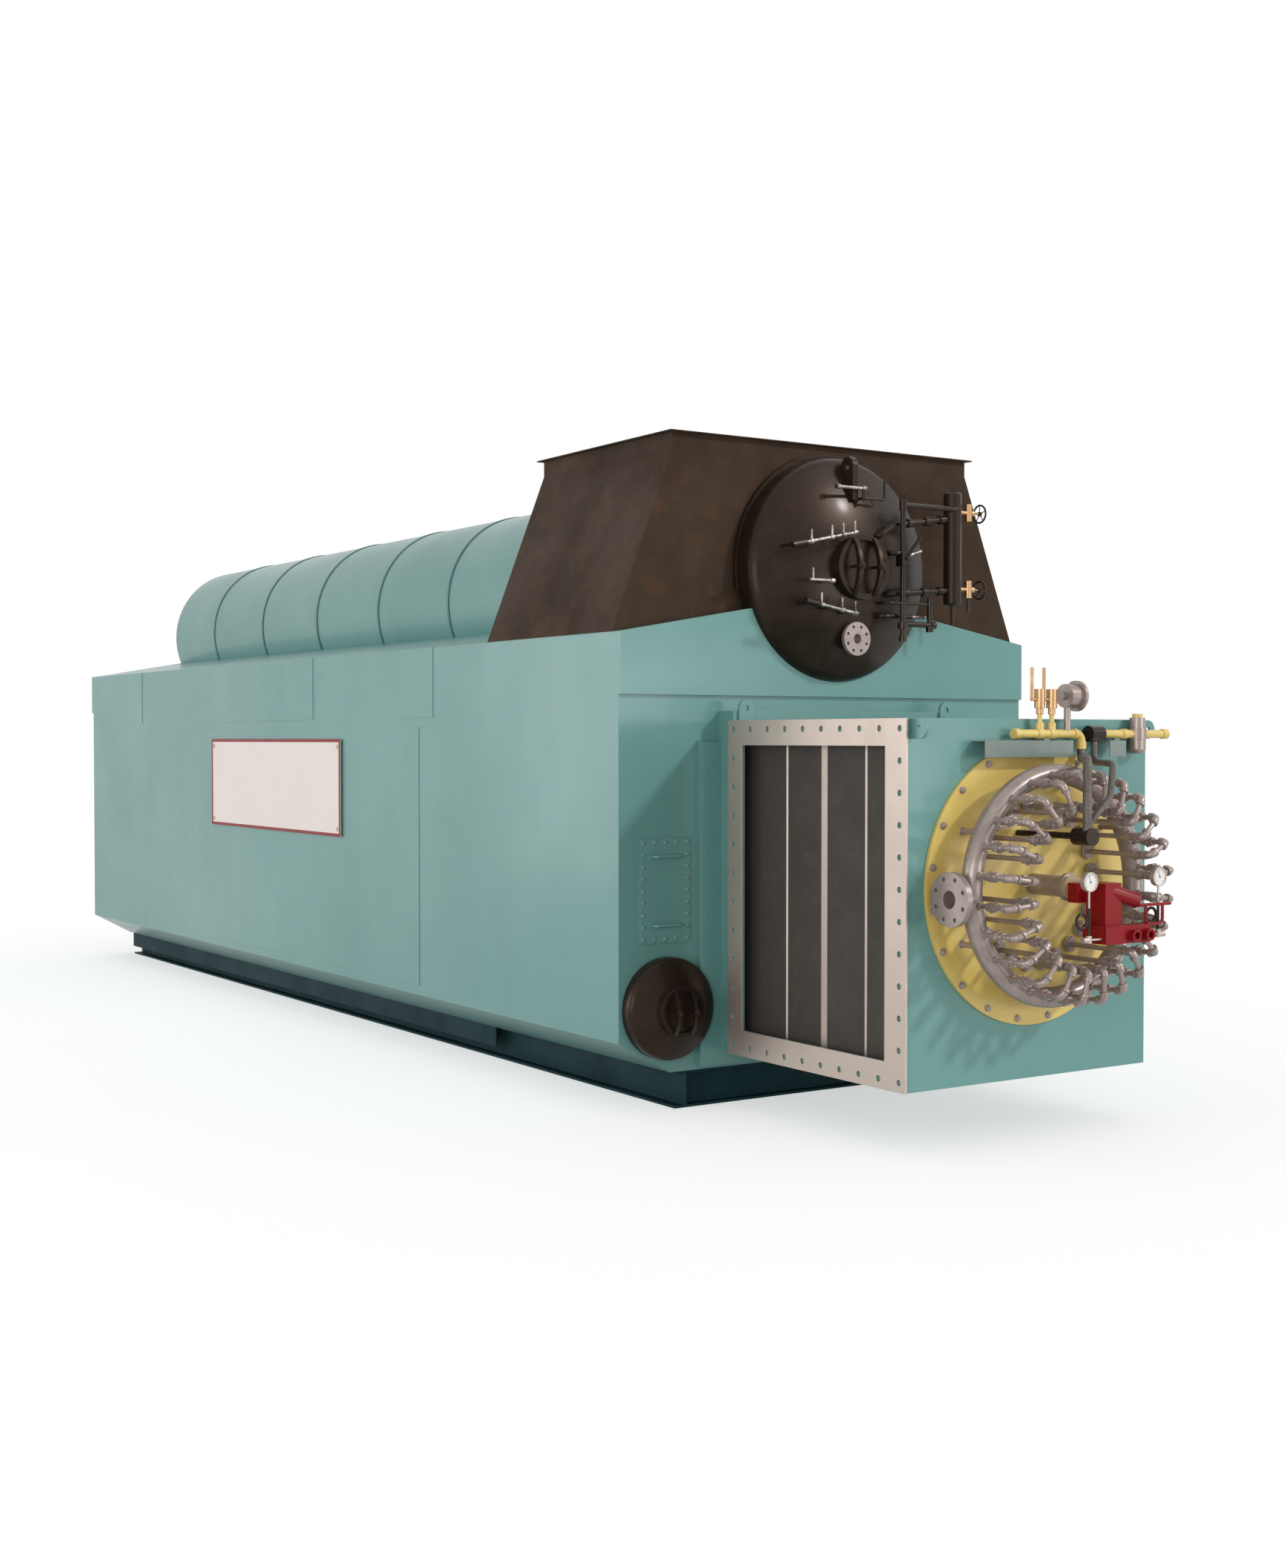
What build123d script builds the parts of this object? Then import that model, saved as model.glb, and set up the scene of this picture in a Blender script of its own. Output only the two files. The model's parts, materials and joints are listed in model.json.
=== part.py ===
"""Industrial watertube boiler: a shop-assembled package with one steam drum on top, two lower
drums, a teal casing on skid beams, a flue gas hopper over the front, and a gas burner in a windbox.

Millimetres. +X to the boiler's right seen from the burner end, +Y to the rear, +Z up.
The origin is on the underside of the front cross beam, at the middle of the skid.
"""
from build123d import *
from math import asin, cos, hypot, pi, radians, sin, sqrt
import os

# Running values shared by many pieces
seam_gap = 0.3            # clearance where a curved piece passes another
cut_overrun = 20          # how far a cutting tool runs past the piece it cuts

# Skid of two rolled beams and cross beams
skid_height = 221
beam_inset = 116          # web of a long beam inside the edge of the casing floor
beam_length = 9960
beam_flange_width = 165
beam_flange_thickness = 14
beam_web_thickness = 10
cross_beam_count = 6
cross_flange_width = 150
cover_plate_thickness = 10
cover_plate_depth = 134
cover_plate_start = 2200  # from the front wall to the front end of the cover plates
cover_plate_drop = 8      # how far the top of a cover plate sits below the casing

# Casing, a welded sheet box with a gabled roof and bevelled lower edges
casing_width = 3200
casing_length = 10000
eave_height = 2842
ridge_rise = 280
wall_foot_height = 419    # where the side walls turn in to the bevel
bevel_inset = 364
casing_sheet = 6
header_drop = 368         # from the eave down to the lower edge of the gable headers
front_header_lap = 25     # how far the front header stands proud
rear_header_lap = 50

# Seal sheets on the side walls
panel_sheet = 4
upper_panel_drop = 482            # from the eave to the lower edge of the upper sheets
upper_panel_fronts = (2380, 4430, 8480)
upper_panel_widths = (540, 2540, 500)
lower_panel_front = 2597
lower_panel_rear = 8767
lower_panel_top = 2295
lower_panel_foot = 482

# Sign, left bare
sign_front = 3878
sign_length = 2702
sign_foot = 1472
sign_height = 739
sign_thickness = 6
sign_standoff = 12
sign_stud_radius = 9
sign_stud_inset = 55

# Steam drum
drum_radius = 700
drum_bridge = 95                  # depth of the header left under the drum
drum_front_offset = -10           # rim of the front head, measured from the front wall
drum_rear_offset = 50             # rim of the rear head, measured from the rear wall
head_skirt = 8                    # straight flange of the head before its knuckle
knuckle_share = 0.06              # knuckle radius over the head's diameter
lagging_sheet = 5
lagging_clearance = 0.3
band_width = 28
band_thickness = 7
band_offsets = (3870, 5135, 6400, 7665, 8930)
collar_radial = 26
collar_length = 32
lug_thickness = 42
lug_width = 118
lug_offset = 148                  # from the head's rim out to the eye of the lug
lug_eye_height = 634              # eye above the drum's axis
lug_eye_radius = 24
lug_foot_height = 420

# Manways of the drums
manway_radius = 200
manway_length = 52                # ring's face in front of the head's crown
lower_manway_radius = 150
lower_manway_length = 40
manway_wall_share = 0.17          # ring wall over its outer radius
manway_recess_share = 0.5         # cover's face behind the ring's face, over the ring's length
yoke_spacing_share = 0.8          # between the two yokes, over the ring's outer radius
yoke_width_share = 0.15
yoke_depth_share = 0.16
yoke_bow_share = 0.2              # how far a yoke arches forward at its middle
yoke_stud_share = 0.6             # stud radius over half the yoke's width

# Flange on the drum's front head
feed_flange_drop = 438
feed_flange_radius = 104
feed_flange_thickness = 26
feed_flange_bore = 30
feed_flange_bore_depth = 40
feed_flange_bolt_circle = 157
feed_flange_hole_radius = 9.5
feed_flange_bolt_count = 8
feed_neck_radius = 44
feed_flange_face_offset = -240    # flange face, measured from the front wall

# Water column, beside the drum's front head
column_offset = 760               # from the centreline
column_front_offset = -262
column_radius = 57
column_foot = 3064
column_top = 3780
column_bevel = 9
column_drain_radius = 12
column_drain_length = 128
column_pipe_radius = 19
column_pipe_bend = 42
coupling_radius = 28
coupling_length = 44
upper_pipe_root = 150             # where the upper pipe leaves the head, from the centreline
upper_pipe_root_height = 3470
upper_pipe_knee = 281
upper_pipe_knee_height = 3549
upper_pipe_end_height = 3616
lower_pipe_root = 232
lower_pipe_root_height = 3114
lower_pipe_end_height = 3159
coupling_shares = (0.25, 0.55, 0.8)   # couplings along the last run of each pipe
gauge_valve_heights = (3170, 3660)
gauge_valve_reach = 77            # from the column's wall to the valve's axis
gauge_stem_radius = 13
gauge_body_radius = 24
gauge_body_length = 110
gauge_bonnet_radius = 18
gauge_bonnet_length = 46
gauge_spindle_radius = 6
gauge_wheel_lead = 99             # from the valve's axis to its handwheel
gauge_wheel_radius = 62
gauge_wheel_rim = 6
gauge_wheel_hub = 15
gauge_spoke_count = 5
gauge_drain_radius = 9
gauge_drain_length = 99

# Riser and drain pipes in front of the drum's head
riser_lead = 45                   # riser's axis in front of the column's axis
riser_place = 308
riser_foot = 2835
riser_top = 3695
riser_radius = 17
riser_union_height = 2919
riser_union_radius = 31
riser_union_length = 40
riser_plug_radius = 24
riser_plug_length = 34
riser_link_height = 3670          # pipe from the riser's top to the column
riser_branch_height = 3368
riser_branch_root = 225
riser_valve_height = 3331
riser_valve_width = 62
riser_valve_length = 84
riser_lever_reach = 115
riser_lever_rise = 137
riser_lever_radius = 12
drain_place = 530
drain_foot = 2884
drain_top = 3095
drain_height = 2928
drain_end = 571
drain_pipe_radius = 11
equaliser_root = 175
equaliser_height = 3057
equaliser_radius = 9
blowdown_height = 2978
blowdown_root = 175
blowdown_end = 417
blowdown_radius = 16

# Bright test cocks and vent cocks
cock_pipe_radius = 11
cock_nut_radius = 17
cock_nut_length = 26
cock_lever_radius = 7
cock_lever_length = 72
cock_stub_radius = 9
cock_row_lead = 63                # rows in front of the column's axis
upper_row_left = -466
upper_row_left_height = 3395
upper_row_right = -72
upper_row_right_height = 3477
lower_row_left = -363
lower_row_left_height = 3027
lower_row_right = -72
lower_row_right_height = 2979
middle_cock_left = -440
middle_cock_right = -257
middle_cock_height = 3172
row_arm_length = 110              # dark pipe at the left end of a row
row_arm_radius = 19
upper_row_lever_shares = (0.1, 0.5, 0.72, 0.95)
lower_row_lever_shares = (0.05, 0.6, 0.95)
row_stub_shares = (0.3, 0.8)
riser_cock_length = 115
riser_cock_height = 3388
column_cock_place = 545
vent_cock_left = -160
vent_cock_right = 45
vent_cock_height = 3760
vent_root_height = 3700
vent_pipe_lead = 85               # vent pipes in front of the lug's eye
vent_pipe_right = 212
vent_pipe_top = 3820
vent_pipe_radius = 8

# Lower drums
lower_drum_radius = 305
lower_drum_side_gap = 25          # between the drum and the casing's side wall
lower_drum_height = 610
lower_drum_overhang = 46          # rim of each head outside the end wall

# Flue gas hopper
hopper_sheet = 8
hopper_front_offset = 75
hopper_length = 1525
hopper_side_inset = 430           # neck's side inside the casing's side wall
hopper_rise = 1108                # height of the sloped sides above the eave
hopper_neck_rise = 107
hopper_flange_width = 34
hopper_flange_thickness = 8
outlet_slot_drum_gap = 80         # from the drum to the near edge of a gas slot
outlet_slot_side_gap = 260        # from the casing's side wall to its far edge
outlet_slot_inset = 130

# Inspection doors in the front wall
door_side_gap = 142               # from the casing's side wall to the door
door_width = 360
door_foot = 1000
door_height = 621
door_thickness = 12
door_handle_length = 190
door_handle_standoff = 42
door_handle_radius = 9
door_handle_share = 0.17          # handle height from the door's nearer edge

# Raised frame between the front wall and the windbox
frame_half_width = 1040
frame_foot = 240
frame_top = 2194
frame_depth = 40
throat_half_width = 885
throat_foot = 330
throat_top = 2380
throat_depth = 155

# Windbox
windbox_half_width = 910
windbox_foot = 330
windbox_top = 2322
windbox_front_offset = -1745
windbox_sheet = 8
inlet_flange_thickness = 13
inlet_front_inset = 153           # windbox edges to the edges of the inlet opening
inlet_rear_inset = 141
inlet_foot_inset = 153
inlet_top_inset = 148
inlet_flange_front_lap = 19
inlet_hole_radius = 17
inlet_hole_inset = 54
inlet_row_count = 10              # holes along a horizontal row
inlet_column_count = 12           # holes along a vertical side, corners included
damper_recess = 100
damper_blade_thickness = 12
damper_bar_spacing = 357
damper_shaft_radius = 11
damper_mullion_width = 52
damper_mullion_depth = 30
damper_blade_gap = 0.3
ear_thickness = 16
ear_radius = 54
ear_stand = 74                    # hole's centre off the wall that carries the ear
ear_hole_radius = 17
ear_roof_inset = 113              # rear ears inside the windbox's sides
ear_front_inset = 36              # front ear inside the windbox's left side
ear_front_drop = 56               # front and side ears under the windbox roof

# Burner
burner_height = 1409
burner_plate_radius = 781
burner_plate_thickness = 20
burner_throat_radius = 560
gas_ring_radius = 610
gas_ring_tube_radius = 57
gas_ring_standoff = 165           # ring's centre in front of the burner plate
boss_radius = 23
boss_length = 14
standoff_count = 6
standoff_radius = 16
gas_inlet_drop = 42
gas_inlet_face = 770              # inlet flange face from the centreline
gas_inlet_radius = 146
gas_inlet_thickness = 36
gas_inlet_bore = 48
gas_inlet_bore_depth = 100
gas_inlet_bolt_circle = 226
gas_inlet_hole_radius = 12
gas_inlet_bolt_count = 8
gas_inlet_neck_radius = 54
poker_count = 24
poker_pipe_radius = 14
poker_inner_radius = 440          # circle of the pokers' return pipes
poker_reach = 290                 # from the ring's centre to the outer elbows
poker_lead = 22                   # how much further forward the inner elbows sit
poker_bend_radius = 34
union_radius = 24
union_length = 44
gland_radius = 34
gland_length = 30

# Gas train along the top of the windbox
train_lead = 55                   # pipe's axis in front of the windbox
train_drop = 82                   # pipe's axis under the windbox roof
train_pipe_radius = 24
train_fitting_radius = 29
train_fitting_length = 40
train_bend = 44
train_left = -188
train_elbow = 332
train_elbow_drop = 85
train_right = 1022
train_valve_places = (10, 101)
train_tee_radius = 24
train_tee_rise = 62
train_nipple_radius = 14
train_nipple_rise = 107
train_sleeve_left = 385
train_sleeve_length = 100
train_sleeve_radius = 46
bracket_thickness = 6
bracket_lead = 105
bracket_drop = 119                # top of the brackets under the windbox roof
bracket_height = 92
bracket_left = -442
bracket_length = 662
short_bracket_left = 510
short_bracket_length = 128
bracket_pad_width = 40
pilot_valve_radius = 30
pilot_valve_length = 139
pilot_valve_neck = 34             # length of each reduced end
pilot_valve_stem_reach = 60
pilot_valve_stem_radius = 9
pilot_valve_stem_drop = 58        # stem under the top of the body
pilot_lever_length = 176
pilot_lever_width = 22
pilot_lever_thickness = 5
switch_place = 222
switch_height = 211               # over the pipe's axis
switch_neck_radius = 19
switch_left = 200
switch_body_length = 81
switch_body_radius = 66
switch_boss_length = 24
switch_boss_radius = 22
switch_disc_radius = 86
switch_disc_thickness = 20
strainer_place = 783
strainer_radius = 52
strainer_half_height = 30
strainer_neck_radius = 44
strainer_neck_rise = 93
strainer_bowl_radius = 48
strainer_bowl_drop = 112
strainer_bowl_fillet = 26
strainer_cap_radius = 30
strainer_cap_height = 22

# Gun in the middle of the burner, with its drive and gauges
gun_radius = 58
gun_length = 255
gun_flange_radius = 76
gun_flange_thickness = 24
sight_radius = 66
sight_length = 22
drive_left = 28
drive_width = 120
drive_foot = 1216
drive_height = 224
drive_depth = 140
drive_cover_left = -38
drive_cover_foot = 1330
drive_cover_height = 106
drive_cover_depth = 70
drive_base_left = -20
drive_base_width = 220
drive_base_foot = 1120
drive_base_depth = 170
drive_base_lead = 50              # base in front of the main case
drive_arm_width = 120
drive_arm_depth = 60
drive_port_places = (182, 288)
drive_port_height = 1162
drive_port_radius = 32
drive_port_bore = 20
drive_port_length = 35
drive_dome_radius = 42
drive_dome_length = 175
drive_dome_drop = 100
handle_radius = 9
handle_left = 245
handle_right = 491
handle_height = 1318
handle_loop_left = 300
handle_loop_right = 430
handle_loop_drop = 104
gauge_case_radius = 52
gauge_case_depth = 30
gauge_rim = 5
gauge_post_radius = 6
gauge_pipe_radius = 8
left_gauge_place = -117
left_gauge_height = 1457
left_gauge_lead = 20              # gauge's axis in front of the drive's main case
right_gauge_place = 438
right_gauge_height = 1463
right_gauge_lead = -5
gauge_post_drop = 140             # from the gauge's middle to the foot of its post
gauge_pipe_drop = 285
gauge_cock_height = 1150
gauge_cock_radius = 16
gauge_cock_length = 46
gauge_rod_radius = 6
siphon_radius = 38
siphon_pipe_radius = 8
siphon_drop = 206

# Hoses from the gas train to the pilot inlet
pilot_place = -116
pilot_height = 1695
pilot_radius = 48
pilot_length = 121
pilot_pipe_radius = 18
pilot_lead = 556                  # front of the inlet's body from the burner plate
gas_hose_radius = 24
air_hose_radius = 18
hose_bend = 50

# Routes of the two hoses between their ends
gas_hose_route = ((332, -1875, 2103), (-130, -2368, 2103))
air_hose_route = ((435, -1875, 2080), (62, -2368, 2080), (40, -2368, 1900), (-88, -2345, 1765))

# Places worked out from the sizes above
front = -cross_flange_width / 2
rear = front + casing_length
half_width = casing_width / 2
header_foot = eave_height - header_drop
ridge_height = eave_height + ridge_rise
floor_half_width = half_width - bevel_inset
beam_place = floor_half_width - beam_inset
drum_height = header_foot + drum_bridge + drum_radius
lower_drum_place = half_width - lower_drum_side_gap - lower_drum_radius
hopper_neck_half_width = half_width - hopper_side_inset
hopper_neck_foot = eave_height + hopper_rise
hopper_height = hopper_neck_foot + hopper_neck_rise
drum_front = front + drum_front_offset
drum_rear = rear + drum_rear_offset
windbox_front = front + windbox_front_offset
windbox_rear = front - throat_depth
burner_face = windbox_front - burner_plate_thickness
ring_y = burner_face - gas_ring_standoff
column_y = front + column_front_offset
riser_y = column_y - riser_lead
cock_y = column_y - cock_row_lead
gun_face = burner_face - gun_length - gun_flange_thickness
drive_rear = gun_face - sight_length - drive_cover_depth
drive_front = drive_rear - drive_depth


def block(x, y, z):
    """A box from three (low, high) pairs."""
    size = [high - low for low, high in (x, y, z)]
    centre = [(high + low) / 2 for low, high in (x, y, z)]
    return Pos(*centre) * Box(*size)


def rod(start, end, radius):
    """A round bar from one point to another."""
    line = Vector(*end) - Vector(*start)
    base = (Align.CENTER, Align.CENTER, Align.MIN)
    return Plane(origin=start, z_dir=line) * Cylinder(radius, line.length, align=base)


def lengthwise(face, y_front, y_rear):
    """A section drawn in X and Z, run from one Y to another."""
    return extrude(Plane.XZ.offset(-y_front) * face, amount=y_front - y_rear)


def outline(*points):
    return make_face(Polyline(*points, close=True))


def mirrored(solid):
    return mirror(solid, about=Plane.YZ)


def save(name, *solids):
    pieces = []
    for solid in solids:
        pieces.extend(solid.solids())
    export_step(Compound(pieces), f"parts/{name}.step")


def roof_line(x):
    """Height of the roof at a distance x from the centreline."""
    return eave_height + ridge_rise * (1 - abs(x) / half_width)


def drum_cut(y_front, y_rear, extra=0):
    """Tool for the round hole that lets the steam drum through."""
    start = (0, y_front - cut_overrun, drum_height)
    end = (0, y_rear + cut_overrun, drum_height)
    return rod(start, end, drum_radius + extra + seam_gap)


# Skid

def skid_beam(side):
    """One long beam of the skid, an I section on its flanges."""
    x = side * beam_place
    half = beam_flange_width / 2
    y = (front, front + beam_length)
    bottom = block((x - half, x + half), y, (0, beam_flange_thickness))
    top = block((x - half, x + half), y, (skid_height - beam_flange_thickness, skid_height))
    web = block((x - beam_web_thickness / 2, x + beam_web_thickness / 2), y,
                (beam_flange_thickness, skid_height - beam_flange_thickness))
    return bottom + top + web


def cross_beams():
    """I sections that tie the long beams, set between their webs and under their top flanges."""
    reach = beam_place - beam_flange_width / 2
    first = front + cross_flange_width / 2
    last = front + beam_length - cross_flange_width / 2
    beams = []
    for index in range(cross_beam_count):
        y = first + (last - first) * index / (cross_beam_count - 1)
        flange = (y - cross_flange_width / 2, y + cross_flange_width / 2)
        web = (y - beam_web_thickness / 2, y + beam_web_thickness / 2)
        bottom = block((-reach, reach), flange, (0, beam_flange_thickness))
        top = block((-reach, reach), flange, (skid_height - beam_flange_thickness, skid_height))
        middle = block((-reach, reach), web,
                       (beam_flange_thickness, skid_height - beam_flange_thickness))
        beams.append(bottom + top + middle)
    return beams


def cover_plates():
    """Long plates that close the outer sides of the skid behind the front bay."""
    outer = beam_place + beam_flange_width / 2
    top = skid_height - cover_plate_drop
    plate = block((outer, outer + cover_plate_thickness),
                  (front + cover_plate_start, front + beam_length),
                  (top - cover_plate_depth, top))
    return [plate, mirrored(plate)]


# Casing

def casing_outline():
    """Cross section of the casing without its gable."""
    foot = floor_half_width
    return outline((-half_width, eave_height), (-half_width, wall_foot_height), (-foot, skid_height),
                   (foot, skid_height), (half_width, wall_foot_height), (half_width, eave_height))


def gable_outline(foot_height):
    """The casing's end above a given height, gable included."""
    return outline((-half_width, eave_height), (0, ridge_height), (half_width, eave_height),
                   (half_width, foot_height), (-half_width, foot_height))


def casing_body():
    """Side walls and floor as one bent shell, which is then cut at its seams."""
    section = casing_outline()
    hollow = offset(section, amount=-casing_sheet)
    top = block((-half_width - cut_overrun, half_width + cut_overrun), (front, rear),
                (eave_height - casing_sheet, eave_height + cut_overrun))
    return lengthwise(section - hollow, front + casing_sheet, rear - casing_sheet) - top


def casing_sides_and_floor():
    shell = casing_body()
    foot = floor_half_width
    deep = (front - cut_overrun, rear + cut_overrun)
    high = (skid_height - cut_overrun, eave_height + cut_overrun)
    left = shell & block((-half_width - cut_overrun, -foot), deep, high)
    floor = shell & block((-foot, foot), deep, high)
    return left, mirrored(left), floor


def end_wall(y_front, y_rear):
    """Front or rear wall below its gable header, with the lower drums let through."""
    wall = lengthwise(casing_outline(), y_front, y_rear)
    header = block((-half_width - cut_overrun, half_width + cut_overrun),
                   (y_front - cut_overrun, y_rear + cut_overrun),
                   (header_foot, eave_height + cut_overrun))
    wall -= header
    for x in (-lower_drum_place, lower_drum_place):
        wall -= rod((x, y_front - cut_overrun, lower_drum_height),
                    (x, y_rear + cut_overrun, lower_drum_height), lower_drum_radius + seam_gap)
    return wall


def front_wall():
    wall = end_wall(front, front + casing_sheet)
    throat = rod((0, front - cut_overrun, burner_height),
                 (0, front + casing_sheet + cut_overrun, burner_height), burner_throat_radius)
    return wall - throat


def header(y_front, y_rear, extra=0):
    """Gable header, cut round for the steam drum."""
    return lengthwise(gable_outline(header_foot), y_front, y_rear) - drum_cut(y_front, y_rear, extra)


def roof(side):
    """One slope of the roof, cut for the drum's lagging and for the gas slot under the hopper."""
    slope = outline((0, ridge_height), (side * half_width, eave_height),
                    (side * half_width, eave_height - casing_sheet), (0, ridge_height - casing_sheet))
    y = (front + casing_sheet, rear - casing_sheet)
    sheet = lengthwise(slope, *y) - drum_cut(*y, extra=lagging_sheet + lagging_clearance)
    inner = side * (drum_radius + outlet_slot_drum_gap)
    outer = side * (half_width - outlet_slot_side_gap)
    hopper_front = front + hopper_front_offset
    slot = block((min(inner, outer), max(inner, outer)),
                 (hopper_front + outlet_slot_inset, hopper_front + hopper_length - outlet_slot_inset),
                 (eave_height - cut_overrun, ridge_height + cut_overrun))
    return sheet - slot


def side_panels():
    """Thin seal sheets lapped on the left side wall."""
    x = (-half_width - panel_sheet, -half_width)
    sheets = []
    for start, width in zip(upper_panel_fronts, upper_panel_widths):
        sheets.append(block(x, (front + start, front + start + width),
                            (eave_height - upper_panel_drop, eave_height)))
    sheets.append(block(x, (front + lower_panel_front, front + lower_panel_rear),
                        (lower_panel_foot, lower_panel_top)))
    return sheets


def sign_plate():
    """Bare sign on four studs, clear of the side sheet."""
    face = -half_width - panel_sheet - sign_standoff
    y = (front + sign_front, front + sign_front + sign_length)
    z = (sign_foot, sign_foot + sign_height)
    plate = block((face - sign_thickness, face), y, z)
    for stud_y in (y[0] + sign_stud_inset, y[1] - sign_stud_inset):
        for stud_z in (z[0] + sign_stud_inset, z[1] - sign_stud_inset):
            plate += rod((face, stud_y, stud_z), (-half_width - panel_sheet, stud_y, stud_z),
                         sign_stud_radius)
    return plate


# Steam drum

def head_lean(radius):
    """Angle from a head's axis at which its knuckle meets its crown."""
    knuckle = 2 * radius * knuckle_share
    return asin((radius - knuckle) / (2 * radius - knuckle))


def head_depth(radius):
    """Depth of a flanged and dished head, its crown radius being the drum's diameter."""
    crown = 2 * radius
    knuckle = 2 * radius * knuckle_share
    return head_skirt + crown - (crown - knuckle) * cos(head_lean(radius))


def head_face(radius, off_axis):
    """How far the crown stands out of the rim at a distance from the head's axis."""
    crown = 2 * radius
    return head_depth(radius) - crown + sqrt(crown ** 2 - off_axis ** 2)


def head_profile(radius):
    """Half section of a head, rim at height zero, crown above."""
    crown = 2 * radius
    knuckle = 2 * radius * knuckle_share
    lean = head_lean(radius)
    depth = head_depth(radius)
    side = radius - knuckle
    half_turn = (pi / 2 - lean) / 2
    start = (radius, head_skirt)
    middle = (side + knuckle * cos(half_turn), head_skirt + knuckle * sin(half_turn))
    meet = (side + knuckle * sin(lean), head_skirt + knuckle * cos(lean))
    crown_middle = (crown * sin(lean / 2), depth - crown + crown * cos(lean / 2))
    return make_face([Line((radius, 0), start), ThreePointArc(start, middle, meet),
                      ThreePointArc(meet, crown_middle, (0, depth)), Line((0, depth), (0, 0)),
                      Line((0, 0), (radius, 0))])


def dished_head(radius, y_rim, facing):
    """A head at the end of a drum; facing is -1 to the front and 1 to the rear."""
    solid = revolve(Plane.XZ * head_profile(radius), Axis.Z)
    return Pos(0, y_rim, 0) * Rot(-90 * facing, 0, 0) * solid


def steam_drum():
    """Shell and two dished heads, closed, with its axis along the boiler."""
    shell = rod((0, drum_front, 0), (0, drum_rear, 0), drum_radius)
    drum = shell + dished_head(drum_radius, drum_front, -1) + dished_head(drum_radius, drum_rear, 1)
    return Pos(0, 0, drum_height) * drum


def drum_lagging():
    """Sheet cladding behind the hopper, split by nothing but its bands."""
    start = front + hopper_front_offset + hopper_length
    outer = drum_radius + lagging_clearance + lagging_sheet
    inner = drum_radius + lagging_clearance
    ends = ((0, start, drum_height), (0, drum_rear, drum_height))
    return rod(*ends, outer) - rod(*ends, inner)


def drum_bands():
    """Half hoops over the laps of the cladding, down to the roof on each side."""
    inner = drum_radius + lagging_clearance + lagging_sheet + seam_gap
    bands = []
    for band_offset in band_offsets:
        y = front + band_offset
        ends = ((0, y, drum_height), (0, y + band_width, drum_height))
        hoop = rod(*ends, inner + band_thickness) - rod(*ends, inner)
        below = lengthwise(outline((-half_width, eave_height + seam_gap), (0, ridge_height + seam_gap),
                                   (half_width, eave_height + seam_gap), (half_width, 0),
                                   (-half_width, 0)), y - cut_overrun, y + band_width + cut_overrun)
        bands.append(hoop - below)
    return bands


def drum_collar():
    """Seal ring round the drum in front of the hopper."""
    back = front + hopper_front_offset
    ends = ((0, back - collar_length, drum_height), (0, back, drum_height))
    ring = rod(*ends, drum_radius + collar_radial) - rod(*ends, drum_radius + seam_gap)
    return ring & block((-half_width, half_width), (back - collar_length, back),
                        (ridge_height + seam_gap, hopper_height))


def lug(y_rim, facing):
    """Lifting eye welded on a drum head, standing in the plane of the axis."""
    eye_y = y_rim + facing * lug_offset
    eye_z = drum_height + lug_eye_height
    foot_z = drum_height + lug_foot_height
    half = lug_width / 2
    plate = block((-lug_thickness / 2, lug_thickness / 2), (eye_y - half, eye_y + half),
                  (foot_z, eye_z))
    plate += rod((-lug_thickness / 2, eye_y, eye_z), (lug_thickness / 2, eye_y, eye_z), half)
    root = block((-lug_thickness / 2, lug_thickness / 2), sorted((y_rim, eye_y)),
                 (foot_z, eye_z - half))
    eye = rod((-lug_thickness, eye_y, eye_z), (lug_thickness, eye_y, eye_z), lug_eye_radius)
    return plate + root - eye


def yoke(x, half, foot, facing, z, reach, outer):
    """A bar arched forward between two feet on the face of a manway's ring."""
    depth = facing * outer * yoke_depth_share
    bow = facing * outer * yoke_bow_share
    foot_half = abs(depth)
    arch = make_face([ThreePointArc((foot, z - reach), (foot + bow + depth, z), (foot, z + reach)),
                      Line((foot, z + reach), (foot, z + reach - foot_half)),
                      ThreePointArc((foot, z + reach - foot_half), (foot + bow, z),
                                    (foot, z - reach + foot_half)),
                      Line((foot, z - reach + foot_half), (foot, z - reach))])
    return extrude(Plane.YZ.offset(x - half) * arch, amount=2 * half)


def manway(x, z, drum_r, y_rim, facing, outer, length):
    """Ring, cover and two yokes of a manway in a drum head, as separate pieces."""
    wall = outer * manway_wall_share
    inner = outer - wall
    face = y_rim + facing * (head_face(drum_r, 0) + length)
    tube = rod((x, y_rim, z), (x, face, z), outer) - rod((x, y_rim, z), (x, face, z), inner)
    head = Pos(x, 0, z) * dished_head(drum_r, y_rim, facing)
    ring = tube - head
    cover_face = face - facing * length * manway_recess_share
    cover_back = y_rim + facing * head_face(drum_r, 0)
    cover = rod((x, cover_back, z), (x, cover_face, z), inner - seam_gap)
    yokes = []
    studs = []
    for side in (-1, 1):
        bar_x = x + side * outer * yoke_spacing_share / 2
        bar_half = outer * yoke_width_share / 2
        reach = outer - wall / 2
        bar = yoke(bar_x, bar_half, face + facing * seam_gap, facing, z, reach, outer)
        stud_radius = bar_half * yoke_stud_share
        crest = outer * (yoke_depth_share + yoke_bow_share) + bar_half
        stud = rod((bar_x, cover_face, z), (bar_x, face + facing * crest, z), stud_radius)
        yokes.append(bar - rod((bar_x, cover_face, z), (bar_x, face + facing * outer, z),
                               stud_radius + seam_gap))
        studs.append(stud)
    for stud in studs:
        cover += stud
    return ring, cover, yokes


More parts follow.
